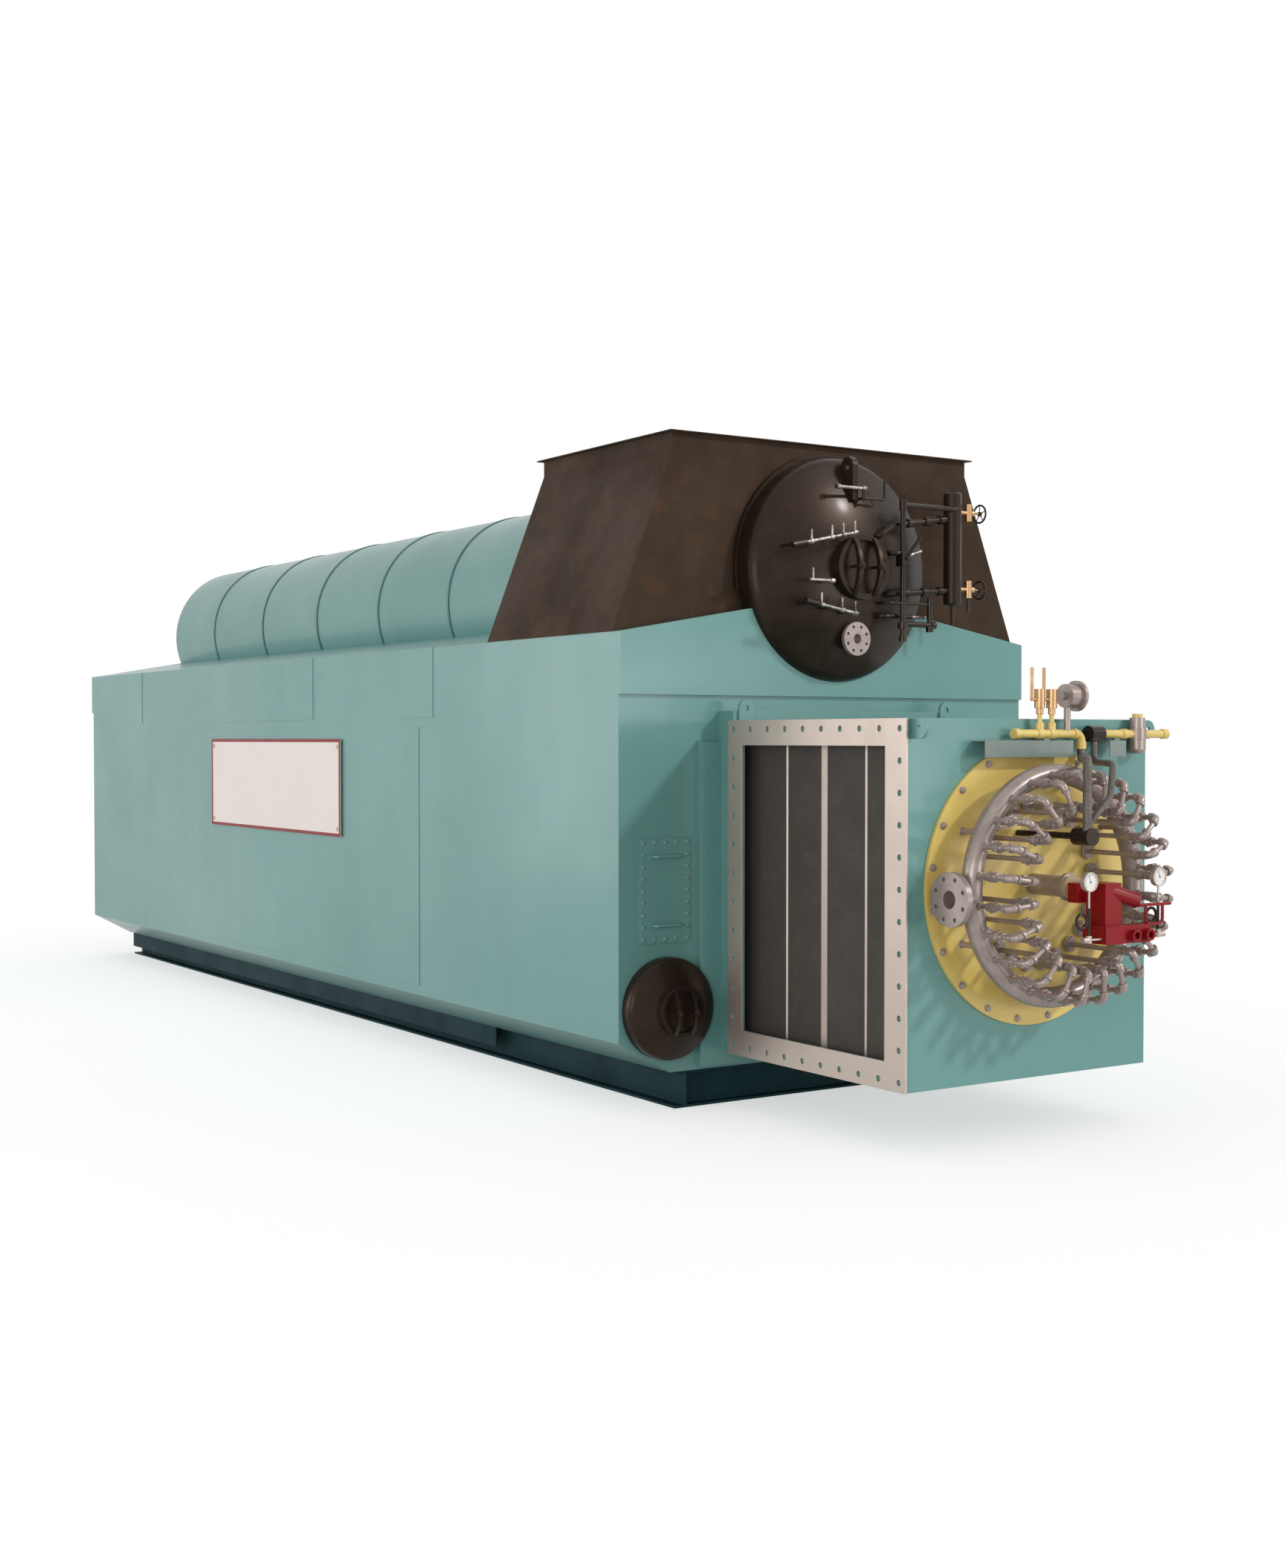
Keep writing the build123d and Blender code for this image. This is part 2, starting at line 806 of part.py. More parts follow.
def manways():
    """The manways of all three drums, front and rear, as rings, covers and yokes."""
    rings, covers, yokes = [], [], []
    lower_rims = (front - lower_drum_overhang, rear + lower_drum_overhang)
    for x, z, drum_r, rims, outer, length in (
            (0, drum_height, drum_radius, (drum_front, drum_rear), manway_radius, manway_length),
            (-lower_drum_place, lower_drum_height, lower_drum_radius, lower_rims,
             lower_manway_radius, lower_manway_length),
            (lower_drum_place, lower_drum_height, lower_drum_radius, lower_rims,
             lower_manway_radius, lower_manway_length)):
        for y_rim, facing in zip(rims, (-1, 1)):
            ring, cover, bars = manway(x, z, drum_r, y_rim, facing, outer, length)
            rings.append(ring)
            covers.append(cover)
            yokes.extend(bars)
    return rings, covers, yokes


def flange_at(face, towards, radius, thickness, bolt_circle, hole_radius, count, neck, neck_end):
    """Round flange with its neck. face and neck_end are points on one axis, towards its unit vector."""
    base = (Align.CENTER, Align.CENTER, Align.MAX)
    seat = Plane(origin=face, z_dir=towards)
    run = (Vector(*face) - Vector(*neck_end)).length
    body = seat * Cylinder(radius, thickness, align=base)
    body += seat * Cylinder(neck, run, align=base)
    holes = [seat * location * Cylinder(hole_radius, thickness, align=base)
             for location in PolarLocations(bolt_circle / 2, count, start_angle=180 / count)]
    return body - holes


def feed_flange():
    """Flanged nozzle low on the front head."""
    z = drum_height - feed_flange_drop
    face = (0, front + feed_flange_face_offset, z)
    neck_end = (0, drum_front, z)
    nozzle = flange_at(face, (0, -1, 0), feed_flange_radius, feed_flange_thickness,
                       feed_flange_bolt_circle, feed_flange_hole_radius, feed_flange_bolt_count,
                       feed_neck_radius, neck_end)
    bore = rod(face, (0, face[1] + feed_flange_bore_depth, z), feed_flange_bore)
    return nozzle - drum_body - bore


def bent_pipe(points, pipe_radius, bend):
    """Pipe swept along straight runs joined by bends."""
    path = FilletPolyline(*points, radius=bend)
    return sweep(Plane(origin=path @ 0, z_dir=path % 0) * Circle(pipe_radius), path=path)


# Water column and pipes in front of the drum head

def column_tool():
    """Tool that copes a pipe to the water column."""
    return rod((column_offset, column_y, column_foot), (column_offset, column_y, column_top),
               column_radius + seam_gap)


def water_column():
    """Column with bevelled ends that carries the gauge glass valves, and its drain."""
    x = column_offset
    body = rod((x, column_y, column_foot), (x, column_y, column_top), column_radius)
    body = chamfer(body.edges().filter_by(GeomType.CIRCLE), column_bevel)
    return body + rod((x, column_y, column_foot + column_bevel),
                      (x, column_y, column_foot - column_drain_length), column_drain_radius)


def along(start, end, share):
    """The point at a share of the way from one point to another."""
    return tuple(low + (high - low) * share for low, high in zip(start, end))


def column_pipe(points):
    """Pipe from the drum's head to the column, with couplings on its last run."""
    start, end = points[-2], points[-1]
    run = hypot(end[0] - start[0], end[2] - start[2])
    half = coupling_length / 2 / run
    pipe = bent_pipe(points, column_pipe_radius, column_pipe_bend)
    for share in coupling_shares:
        pipe += rod(along(start, end, share - half), along(start, end, share + half), coupling_radius)
    return pipe - drum_body - column_tool()


def column_piping():
    """The two pipes that join the water column to the drum."""
    x_end = column_offset
    upper = [(upper_pipe_root, drum_front, upper_pipe_root_height),
             (upper_pipe_root, column_y, upper_pipe_root_height),
             (upper_pipe_knee, column_y, upper_pipe_knee_height),
             (x_end, column_y, upper_pipe_end_height)]
    lower = [(lower_pipe_root, drum_front, lower_pipe_root_height),
             (lower_pipe_root, column_y, lower_pipe_root_height),
             (x_end, column_y, lower_pipe_end_height)]
    return [column_pipe(upper), column_pipe(lower)]


def drum_risers():
    """Riser with its plugs, union and branches, the drain beside it and the blowdown pipe."""
    def at(x, z, y=riser_y):
        return (x, y, z)

    riser = rod(at(riser_place, riser_foot), at(riser_place, riser_top), riser_radius)
    for z, radius, length in ((riser_union_height, riser_union_radius, riser_union_length),
                              (riser_foot, riser_plug_radius, riser_plug_length),
                              (riser_link_height, riser_plug_radius, 2 * riser_plug_length)):
        riser += rod(at(riser_place, z - length / 2), at(riser_place, z + length / 2), radius)
    half = riser_valve_width / 2
    riser += block((riser_place - half, riser_place + half), (riser_y - half, riser_y + half),
                   (riser_valve_height - riser_valve_length / 2,
                    riser_valve_height + riser_valve_length / 2))
    riser += rod(at(riser_place, riser_valve_height, riser_y - half),
                 at(riser_place + riser_lever_reach, riser_valve_height + riser_lever_rise,
                    riser_y - half), riser_lever_radius)
    link = rod(at(riser_place, riser_link_height), at(column_offset, riser_link_height), riser_radius)
    branch_pipe = bent_pipe([at(riser_place, riser_branch_height),
                             at(riser_branch_root, riser_branch_height),
                             at(riser_branch_root, riser_branch_height, drum_front)],
                            riser_radius, column_pipe_bend)
    drain = rod(at(riser_place, drain_height), at(drain_end, drain_height), riser_radius)
    drain += rod(at(drain_end - riser_plug_length, drain_height), at(drain_end, drain_height),
                 riser_plug_radius)
    drain += rod(at(drain_place, drain_foot), at(drain_place, drain_top), riser_radius)
    drain += rod(at(drain_place, drain_foot), at(drain_place, drain_foot + riser_plug_length),
                 riser_plug_radius)
    equaliser = bent_pipe([at(drain_place, equaliser_height), at(equaliser_root, equaliser_height),
                           at(equaliser_root, equaliser_height, drum_front)],
                          equaliser_radius, column_pipe_bend)
    trunk = riser + link + branch_pipe + drain + equaliser
    blowdown = bent_pipe([at(blowdown_end, blowdown_height, column_y),
                          at(blowdown_root, blowdown_height, column_y),
                          at(blowdown_root, blowdown_height, drum_front)],
                         blowdown_radius, column_pipe_bend)
    return [trunk - drum_body - column_tool(), blowdown - drum_body]


def lever_up(x, y, z):
    """Lever of a test cock, standing on its pipe."""
    return rod((x, y, z), (x, y, z + cock_lever_length), cock_lever_radius)


def cock_row(left, left_height, right, right_height, lever_shares):
    """A sloping row of test cocks, bright, and the dark arm and stubs that carry it."""
    start, end = (left, cock_y, left_height), (right, cock_y, right_height)
    row = rod(start, end, cock_pipe_radius)
    run = hypot(right - left, right_height - left_height)
    half = cock_nut_length / 2 / run
    for share in lever_shares:
        row += rod(along(start, end, share - half), along(start, end, share + half), cock_nut_radius)
        row += lever_up(*along(start, end, share))
    arm_end = along(start, end, -seam_gap / run)
    arm_start = along(start, end, -(row_arm_length + seam_gap) / run)
    carriers = [rod(arm_start, arm_end, row_arm_radius)]
    for share in row_stub_shares:
        x, y, z = along(start, end, share)
        carriers.append(rod((x, y + cock_pipe_radius + seam_gap, z), (x, drum_front, z), cock_stub_radius)
                        - drum_body)
    x, y, z = along(arm_start, arm_end, 1 / 2)
    carriers[0] += rod((x, y, z), (x, drum_front, z), cock_stub_radius)
    carriers[0] -= drum_body
    return row, carriers


def cocks():
    """All bright cocks in front of the drum, and the dark pipes that carry them."""
    bright, dark = [], []
    for row in ((upper_row_left, upper_row_left_height, upper_row_right, upper_row_right_height,
                 upper_row_lever_shares),
                (lower_row_left, lower_row_left_height, lower_row_right, lower_row_right_height,
                 lower_row_lever_shares)):
        shiny, carriers = cock_row(*row)
        bright.append(shiny)
        dark.extend(carriers)
    z = middle_cock_height
    cock = rod((middle_cock_left, cock_y, z), (middle_cock_right, cock_y, z), cock_pipe_radius)
    cock += lever_up(middle_cock_left + cock_nut_length, cock_y, z)
    stub_x = middle_cock_right - cock_nut_length
    cock += rod((stub_x, cock_y, z), (stub_x + cock_nut_length, cock_y, z), cock_nut_radius)
    bright.append(cock)
    dark.append(rod((stub_x, cock_y + cock_nut_radius + seam_gap, z), (stub_x, drum_front, z),
                    cock_stub_radius) - drum_body)
    lever_x = riser_place + riser_valve_width / 2 + seam_gap
    riser_cock = rod((lever_x, riser_y, riser_cock_height - cock_lever_length / 2),
                     (lever_x + riser_cock_length, riser_y, riser_cock_height), cock_pipe_radius)
    bright.append(riser_cock - block((riser_place - riser_valve_width, lever_x),
                                     (riser_y - riser_valve_width, riser_y + riser_valve_width),
                                     (riser_foot, riser_top)))
    bright.append(rod((blowdown_end + seam_gap, column_y, blowdown_height),
                      (blowdown_end + riser_cock_length, column_y, blowdown_height), cock_pipe_radius))
    vent_y = drum_front - lug_offset - vent_pipe_lead
    post_top = vent_cock_height - cock_nut_radius - seam_gap
    vent = rod((vent_cock_left, vent_y, vent_cock_height), (vent_cock_right, vent_y, vent_cock_height),
               cock_pipe_radius)
    for x in (vent_cock_left, vent_cock_right):
        vent += rod((x - cock_nut_length / 2, vent_y, vent_cock_height),
                    (x + cock_nut_length / 2, vent_y, vent_cock_height), cock_nut_radius)
    bright.append(vent)
    pipe = rod((vent_cock_right, vent_y, vent_root_height), (vent_cock_right, drum_front, vent_root_height),
               vent_pipe_radius)
    pipe += rod((vent_cock_right, vent_y, vent_root_height - cock_nut_radius),
                (vent_cock_right, vent_y, post_top), cock_nut_radius * 2 / 3)
    pipe += bent_pipe([(vent_cock_right, vent_y, vent_root_height),
                       (vent_pipe_right, vent_y, vent_root_height),
                       (vent_pipe_right, vent_y, vent_pipe_top)], vent_pipe_radius, 2 * vent_pipe_radius)
    dark.append(pipe - drum_body)
    return bright, dark


def gauge_valves():
    """Brass valves at the two ends of the gauge glass, with their bonnets and spindles."""
    wall = column_offset + column_radius + seam_gap
    x = column_offset + column_radius + gauge_valve_reach
    half = gauge_body_length / 2
    valves = []
    for height in gauge_valve_heights:
        body = rod((wall, column_y, height), (x, column_y, height), gauge_stem_radius)
        body += rod((x, column_y, height - half), (x, column_y, height + half), gauge_body_radius)
        body += rod((x, column_y, height), (x + gauge_bonnet_length, column_y, height),
                    gauge_bonnet_radius)
        body += rod((x, column_y, height),
                    (x + gauge_wheel_lead + gauge_wheel_hub, column_y, height), gauge_spindle_radius)
        valves.append(body)
    return valves


def gauge_trim():
    """Handwheels of the gauge valves and the drain under the lower one."""
    x = column_offset + column_radius + gauge_valve_reach
    wheel_x = x + gauge_wheel_lead
    pieces = []
    for height in gauge_valve_heights:
        rim = Pos(0, gauge_wheel_radius - gauge_wheel_rim) * Circle(gauge_wheel_rim)
        wheel = Pos(wheel_x, column_y, height) * revolve(rim, Axis.X)
        wheel += rod((wheel_x - gauge_wheel_hub / 2, column_y, height),
                     (wheel_x + gauge_wheel_hub / 2, column_y, height), gauge_wheel_hub)
        for index in range(gauge_spoke_count):
            turn = radians(360 * index / gauge_spoke_count)
            reach = gauge_wheel_radius - gauge_wheel_rim
            wheel += rod((wheel_x, column_y, height),
                         (wheel_x, column_y + reach * sin(turn), height + reach * cos(turn)),
                         gauge_wheel_rim / 2)
        pieces.append(wheel - rod((x, column_y, height), (wheel_x + gauge_wheel_hub, column_y, height),
                                  gauge_spindle_radius + seam_gap))
    foot = min(gauge_valve_heights) - gauge_body_length / 2 - seam_gap
    drain = rod((x, column_y, foot), (x, column_y, foot - gauge_drain_length), gauge_drain_radius)
    pieces.append(drain)
    return pieces


# Lower drums

def lower_drum(side):
    """One of the two drums low in the casing, its heads standing out of the end walls."""
    y_front = front - lower_drum_overhang
    y_rear = rear + lower_drum_overhang
    shell = rod((0, y_front, 0), (0, y_rear, 0), lower_drum_radius)
    drum = shell + dished_head(lower_drum_radius, y_front, -1) + dished_head(lower_drum_radius, y_rear, 1)
    return Pos(side * lower_drum_place, 0, lower_drum_height) * drum


# Hopper

def hopper():
    """Welded flue gas hopper: two sloped sides, two upright ends and a flange round its neck."""
    y = (front + hopper_front_offset, front + hopper_front_offset + hopper_length)
    lean = (half_width - hopper_neck_half_width) / (hopper_neck_foot - eave_height)
    across = hopper_sheet * hypot(1, lean)
    ends = []
    profile = outline((-half_width, eave_height), (-hopper_neck_half_width, hopper_neck_foot),
                      (-hopper_neck_half_width, hopper_height), (hopper_neck_half_width, hopper_height),
                      (hopper_neck_half_width, hopper_neck_foot), (half_width, eave_height),
                      (0, ridge_height))
    for y_low in (y[0], y[1] - hopper_sheet):
        ends.append(lengthwise(profile, y_low, y_low + hopper_sheet))
    side = lengthwise(outline((-half_width, eave_height), (-hopper_neck_half_width, hopper_neck_foot),
                              (-hopper_neck_half_width, hopper_height),
                              (-hopper_neck_half_width + across, hopper_height),
                              (-hopper_neck_half_width + across, hopper_neck_foot),
                              (-half_width + across, roof_line(half_width - across))), *y)
    shell = ends[0] + ends[1] + side + mirrored(side)
    shell -= drum_cut(y[0], y[0] + hopper_sheet)
    shell -= drum_cut(y[1] - hopper_sheet, y[1])
    reach = hopper_neck_half_width + hopper_flange_width
    rim = block((-reach, reach), (y[0] - hopper_flange_width, y[1] + hopper_flange_width),
                (hopper_height - hopper_flange_thickness, hopper_height))
    mouth = block((-hopper_neck_half_width + across, hopper_neck_half_width - across),
                  (y[0] + hopper_sheet, y[1] - hopper_sheet),
                  (hopper_height - cut_overrun, hopper_height + cut_overrun))
    return shell + (rim - mouth)


# Front of the casing

def inspection_doors():
    """Bolted door plates on the front wall, one each side of the windbox."""
    outer = half_width - door_side_gap
    plate = block((outer - door_width, outer), (front - door_thickness, front),
                  (door_foot, door_foot + door_height))
    return [mirrored(plate), plate]


def door_handles():
    """Two bar handles on each inspection door."""
    y_face = front - door_thickness
    y_bar = y_face - door_handle_standoff
    handles = []
    for side in (-1, 1):
        middle = side * (half_width - door_side_gap - door_width / 2)
        low, high = middle - door_handle_length / 2, middle + door_handle_length / 2
        for share in (door_handle_share, 1 - door_handle_share):
            z = door_foot + door_height * share
            handles.append(bent_pipe([(low, y_face, z), (low, y_bar, z), (high, y_bar, z),
                                      (high, y_face, z)], door_handle_radius, 2 * door_handle_radius))
    return handles


def burner_frame():
    """Raised frame and throat box between the front wall and the windbox."""
    frame = block((-frame_half_width, frame_half_width), (front - frame_depth, front),
                  (frame_foot, frame_top))
    frame += block((-throat_half_width, throat_half_width), (front - throat_depth, front),
                   (throat_foot, throat_top))
    frame -= rod((0, front - throat_depth, burner_height), (0, front, burner_height),
                 burner_throat_radius)
    for x in (-lower_drum_place, lower_drum_place):
        frame -= rod((x, front - throat_depth, lower_drum_height), (x, front, lower_drum_height),
                     lower_drum_radius + seam_gap)
    return frame


# Windbox

def inlet_opening(x):
    """Rectangle of the air inlet, as a tool between two X."""
    return block(x, (windbox_front + inlet_front_inset, windbox_rear - inlet_rear_inset),
                 (windbox_foot + inlet_foot_inset, windbox_top - inlet_top_inset))


def windbox():
    """Sheet box round the burner, open to the inlet on its left and to the throat behind."""
    shell = block((-windbox_half_width, windbox_half_width), (windbox_front, windbox_rear),
                  (windbox_foot, windbox_top))
    inner = windbox_half_width - windbox_sheet
    shell -= block((-inner, inner), (windbox_front + windbox_sheet, windbox_rear - windbox_sheet),
                   (windbox_foot + windbox_sheet, windbox_top - windbox_sheet))
    shell -= inlet_opening((-windbox_half_width - cut_overrun, -inner + cut_overrun))
    shell -= rod((0, windbox_front - cut_overrun, burner_height),
                 (0, windbox_rear + cut_overrun, burner_height), burner_throat_radius)
    return shell


def inlet_flange():
    """Drilled flange round the air inlet, for the duct from the fan."""
    x = (-windbox_half_width - inlet_flange_thickness, -windbox_half_width)
    y = (windbox_front - inlet_flange_front_lap, windbox_rear)
    flange = block(x, y, (windbox_foot, windbox_top)) - inlet_opening((x[0] - cut_overrun, cut_overrun))
    y_low, y_high = y[0] + inlet_hole_inset, y[1] - inlet_hole_inset
    z_low, z_high = windbox_foot + inlet_hole_inset, windbox_top - inlet_hole_inset
    places = []
    for index in range(inlet_row_count):
        y_hole = y_low + (y_high - y_low) * index / (inlet_row_count - 1)
        places += [(y_hole, z_low), (y_hole, z_high)]
    for index in range(1, inlet_column_count - 1):
        z_hole = z_low + (z_high - z_low) * index / (inlet_column_count - 1)
        places += [(y_low, z_hole), (y_high, z_hole)]
    holes = [rod((x[0], y_hole, z_hole), (x[1], y_hole, z_hole), inlet_hole_radius)
             for y_hole, z_hole in places]
    return flange - holes


def damper_stations():
    """Y of the three uprights of the damper, front to rear."""
    middle = (windbox_front + inlet_front_inset + windbox_rear - inlet_rear_inset) / 2
    return [middle - damper_bar_spacing, middle, middle + damper_bar_spacing]


def damper_blades():
    """Four closed blades between the uprights."""
    x_face = -windbox_half_width + damper_recess
    x = (x_face, x_face + damper_blade_thickness)
    z = (windbox_foot + windbox_sheet + damper_blade_gap, windbox_top - windbox_sheet - damper_blade_gap)
    stations = damper_stations()
    edges = [windbox_front + windbox_sheet] + stations + [windbox_rear - windbox_sheet]
    half_widths = [0, damper_shaft_radius, damper_mullion_width / 2, damper_shaft_radius, 0]
    blades = []
    for index in range(len(edges) - 1):
        low = edges[index] + half_widths[index] + damper_blade_gap
        high = edges[index + 1] - half_widths[index + 1] - damper_blade_gap
        blades.append(block(x, (low, high), z))
    return blades


def damper_bars():
    """Two blade shafts and the channel mullion, from the windbox floor to its roof."""
    stations = damper_stations()
    x = -windbox_half_width + damper_recess + damper_blade_thickness / 2
    z = (windbox_foot + windbox_sheet, windbox_top - windbox_sheet)
    bars = [rod((x, y, z[0]), (x, y, z[1]), damper_shaft_radius) for y in (stations[0], stations[2])]
    half = damper_mullion_width / 2
    bars.append(block((x - damper_mullion_depth / 2, x + damper_mullion_depth / 2),
                      (stations[1] - half, stations[1] + half), z))
    return bars


def ear(foot, outward, normal):
    """Round-ended lifting ear: foot on the wall, outward from it, normal to its plate."""
    seat = Plane(origin=foot, x_dir=Vector(*outward).cross(Vector(*normal)), z_dir=normal)
    face = Pos(0, ear_stand / 2) * Rectangle(2 * ear_radius, ear_stand)
    face += Pos(0, ear_stand) * Circle(ear_radius)
    face -= Pos(0, ear_stand) * Circle(ear_hole_radius)
    return extrude(seat * face, amount=ear_thickness / 2, both=True)


def windbox_ears():
    """Two ears on the rear of the roof, one on the front wall and one on the right side."""
    low = windbox_top - ear_front_drop
    ears = [ear((side * (windbox_half_width - ear_roof_inset), windbox_rear - ear_thickness / 2,
                 windbox_top), (0, 0, 1), (0, 1, 0)) for side in (-1, 1)]
    ears.append(ear((ear_front_inset - windbox_half_width, windbox_front, low), (0, -1, 0), (1, 0, 0)))
    ears.append(ear((windbox_half_width, windbox_front + ear_radius, low), (1, 0, 0), (0, 1, 0)))
    return ears


# Burner

def ring_point(radius, angle, y):
    """A point on a circle round the burner's axis."""
    return (radius * cos(radians(angle)), y, burner_height + radius * sin(radians(angle)))


def poker_angles():
    return [360 * (index + 0.5) / poker_count for index in range(poker_count)]


def burner_plate():
    return rod((0, burner_face, burner_height), (0, windbox_front, burner_height), burner_plate_radius)


def saddle(angle):
    """Tool that fits a branch to the ring pipe: a straight pipe along the ring's tangent."""
    centre = Vector(*ring_point(gas_ring_radius, angle, ring_y))
    tangent = Vector(-sin(radians(angle)), 0, cos(radians(angle))) * gas_ring_tube_radius
    return rod(centre - tangent, centre + tangent, gas_ring_tube_radius + seam_gap)


def branch(angle, y_end, radius):
    """A round branch from the ring pipe along Y, coped to it."""
    return rod(ring_point(gas_ring_radius, angle, ring_y), ring_point(gas_ring_radius, angle, y_end),
               radius) - saddle(angle)


def gas_ring():
    """Gas manifold: a ring pipe with its flanged inlet."""
    tube = Pos(gas_ring_radius, 0, 0) * Circle(gas_ring_tube_radius)
    ring = Pos(0, ring_y, burner_height) * revolve(tube, Axis.Y)
    z = burner_height - gas_inlet_drop
    face = (-gas_inlet_face, ring_y, z)
    neck_end = (-gas_ring_radius, ring_y, z)
    inlet = flange_at(face, (-1, 0, 0), gas_inlet_radius, gas_inlet_thickness,
                      gas_inlet_bolt_circle, gas_inlet_hole_radius, gas_inlet_bolt_count,
                      gas_inlet_neck_radius, neck_end)
    bore = rod(face, (-gas_inlet_face + gas_inlet_bore_depth, ring_y, z), gas_inlet_bore)
    return ring + inlet - bore


def ring_standoffs():
    """Short struts that hold the ring off the burner plate."""
    angles = [360 * (index + 0.5) / standoff_count for index in range(standoff_count)]
    return [branch(angle, burner_face, standoff_radius) for angle in angles]


def poker(angle):
    """One gas poker: a boss on the ring, two elbows, and back through the burner plate."""
    boss_face = ring_y - gas_ring_tube_radius - boss_length
    outer_y = ring_y - poker_reach
    inner_y = outer_y - poker_lead
    points = [ring_point(gas_ring_radius, angle, boss_face), ring_point(gas_ring_radius, angle, outer_y),
              ring_point(poker_inner_radius, angle, inner_y),
              ring_point(poker_inner_radius, angle, burner_face)]
    pipe = bent_pipe(points, poker_pipe_radius, poker_bend_radius) + branch(angle, boss_face, boss_radius)
    outer_union = (boss_face + outer_y) / 2
    inner_union = inner_y + poker_bend_radius + union_length
    for radius, start, length, width in (
            (gas_ring_radius, outer_union, union_length, union_radius),
            (poker_inner_radius, inner_union, union_length, union_radius),
            (poker_inner_radius, burner_face - gland_length, gland_length, gland_radius)):
        pipe += rod(ring_point(radius, angle, start), ring_point(radius, angle, start + length), width)
    return pipe


# Gas train

def train_point(x, rise=0):
    """A point on, over or under the axis of the gas train's pipe."""
    return (x, windbox_front - train_lead, windbox_top - train_drop + rise)


def train_collar(x, length, radius):
    """A fitting round the pipe, from x to the right."""
    return rod(train_point(x), train_point(x + length), radius)


def train_pipe():
    """Threaded gas pipe: manifold with tees and elbow, and the run through the strainer."""
    manifold = bent_pipe([train_point(train_left), train_point(train_elbow),
                          train_point(train_elbow, -train_elbow_drop)], train_pipe_radius, train_bend)
    manifold += train_collar(train_left, train_fitting_length, train_fitting_radius)
    manifold += train_collar(train_elbow - train_bend - train_fitting_length / 2,
                             train_fitting_length / 2, train_fitting_radius)
    manifold += rod(train_point(train_elbow, -train_bend),
                    train_point(train_elbow, -train_elbow_drop), train_fitting_radius)
    for x in train_valve_places:
        manifold += train_collar(x - train_tee_radius, 2 * train_tee_radius, train_fitting_radius)
        manifold += rod(train_point(x), train_point(x, train_tee_rise), train_tee_radius)
        manifold += rod(train_point(x), train_point(x, train_nipple_rise), train_nipple_radius)
    run = train_collar(train_sleeve_left + train_sleeve_length + seam_gap,
                       train_right - train_sleeve_left - train_sleeve_length - seam_gap,
                       train_pipe_radius)
    run += train_collar(strainer_place - strainer_radius - 2 * train_fitting_length,
                        train_fitting_length, train_fitting_radius)
    run += train_collar(train_right - train_fitting_length, train_fitting_length,
                        train_fitting_radius)
    run -= rod(train_point(strainer_place, -strainer_radius), train_point(strainer_place, strainer_radius),
               strainer_radius + seam_gap)
    cap = rod(train_point(strainer_place, strainer_neck_rise),
              train_point(strainer_place, strainer_neck_rise + strainer_cap_height),
              strainer_cap_radius)
    return [manifold, run, cap]


def train_sleeve():
    """Dark end piece of the run, from which the air hose hangs."""
    return train_collar(train_sleeve_left, train_sleeve_length, train_sleeve_radius)


def train_brackets():
    """Two angles on the windbox wall, each with pads under the pipe."""
    top = windbox_top - bracket_drop
    face = windbox_front - bracket_lead
    pipe_y = windbox_front - train_lead
    foot = windbox_top - train_drop - train_pipe_radius - seam_gap
    angles = []
    for left, length in ((bracket_left, bracket_length), (short_bracket_left, short_bracket_length)):
        x = (left, left + length)
        angle = block(x, (face, face + bracket_thickness), (top - bracket_height, top))
        angle += block(x, (face, windbox_front), (top - bracket_thickness, top))
        pad = x[1] - length / 4
        angle += block((pad - bracket_pad_width / 2, pad + bracket_pad_width / 2),
                       (pipe_y - train_pipe_radius / 2, pipe_y + train_pipe_radius / 2), (top, foot))
        angles.append(angle)
    return angles


def pilot_valves():
    """Two brass ball valves standing on the manifold, their levers up."""
    valves = []
    for x in train_valve_places:
        low = train_nipple_rise + seam_gap
        high = low + pilot_valve_length
        body = rod(train_point(x, low), train_point(x, high), pilot_valve_radius * 2 / 3)
        body += rod(train_point(x, low + pilot_valve_neck), train_point(x, high), pilot_valve_radius)
        stem_rise = high - pilot_valve_stem_drop
        centre = train_point(x, stem_rise)
        end_x = x - pilot_valve_stem_reach
        body += rod(centre, train_point(end_x, stem_rise), pilot_valve_stem_radius)
        body += block((end_x - pilot_lever_thickness / 2, end_x + pilot_lever_thickness / 2),
                      (centre[1] - pilot_lever_width / 2, centre[1] + pilot_lever_width / 2),
                      (centre[2] - pilot_valve_stem_radius, centre[2] + pilot_lever_length))
        valves.append(body)
    return valves


def pressure_switch():
    """Round switch on a neck over the manifold, its diaphragm disc to the right."""
    def at(x):
        return train_point(x, switch_height)

    right = switch_left + switch_body_length
    body = rod(at(switch_left), at(right), switch_body_radius)
    body += rod(at(switch_left - switch_boss_length), at(switch_left), switch_boss_radius)
    body += rod(at(right), at(right + switch_disc_thickness), switch_disc_radius)
    body += rod(train_point(switch_place), at(switch_place), switch_neck_radius)
    return body - rod(train_point(train_left), train_point(train_elbow),
                      train_pipe_radius + seam_gap)


def gas_strainer():
    """Strainer with a port block, a neck above it and a round-bottomed bowl."""
    def at(rise):
        return train_point(strainer_place, rise)

    bowl = rod(at(0), at(-strainer_bowl_drop), strainer_bowl_radius)
    bowl = fillet(bowl.edges().sort_by(Axis.Z)[0], strainer_bowl_fillet)
    return (bowl + rod(at(-strainer_half_height), at(strainer_half_height), strainer_radius)
            + rod(at(0), at(strainer_neck_rise), strainer_neck_radius))


# Gun of the burner

def burner_gun():
    """Gun tube on the burner's axis, with its flange."""
    flange = gun_face + gun_flange_thickness
    return (rod((0, burner_face, burner_height), (0, flange, burner_height), gun_radius)
            + rod((0, flange, burner_height), (0, gun_face, burner_height), gun_flange_radius))


def sight_ring():
    """Round sight glass holder in front of the gun's flange."""
    return rod((0, gun_face, burner_height), (0, gun_face - sight_length, burner_height), sight_radius)


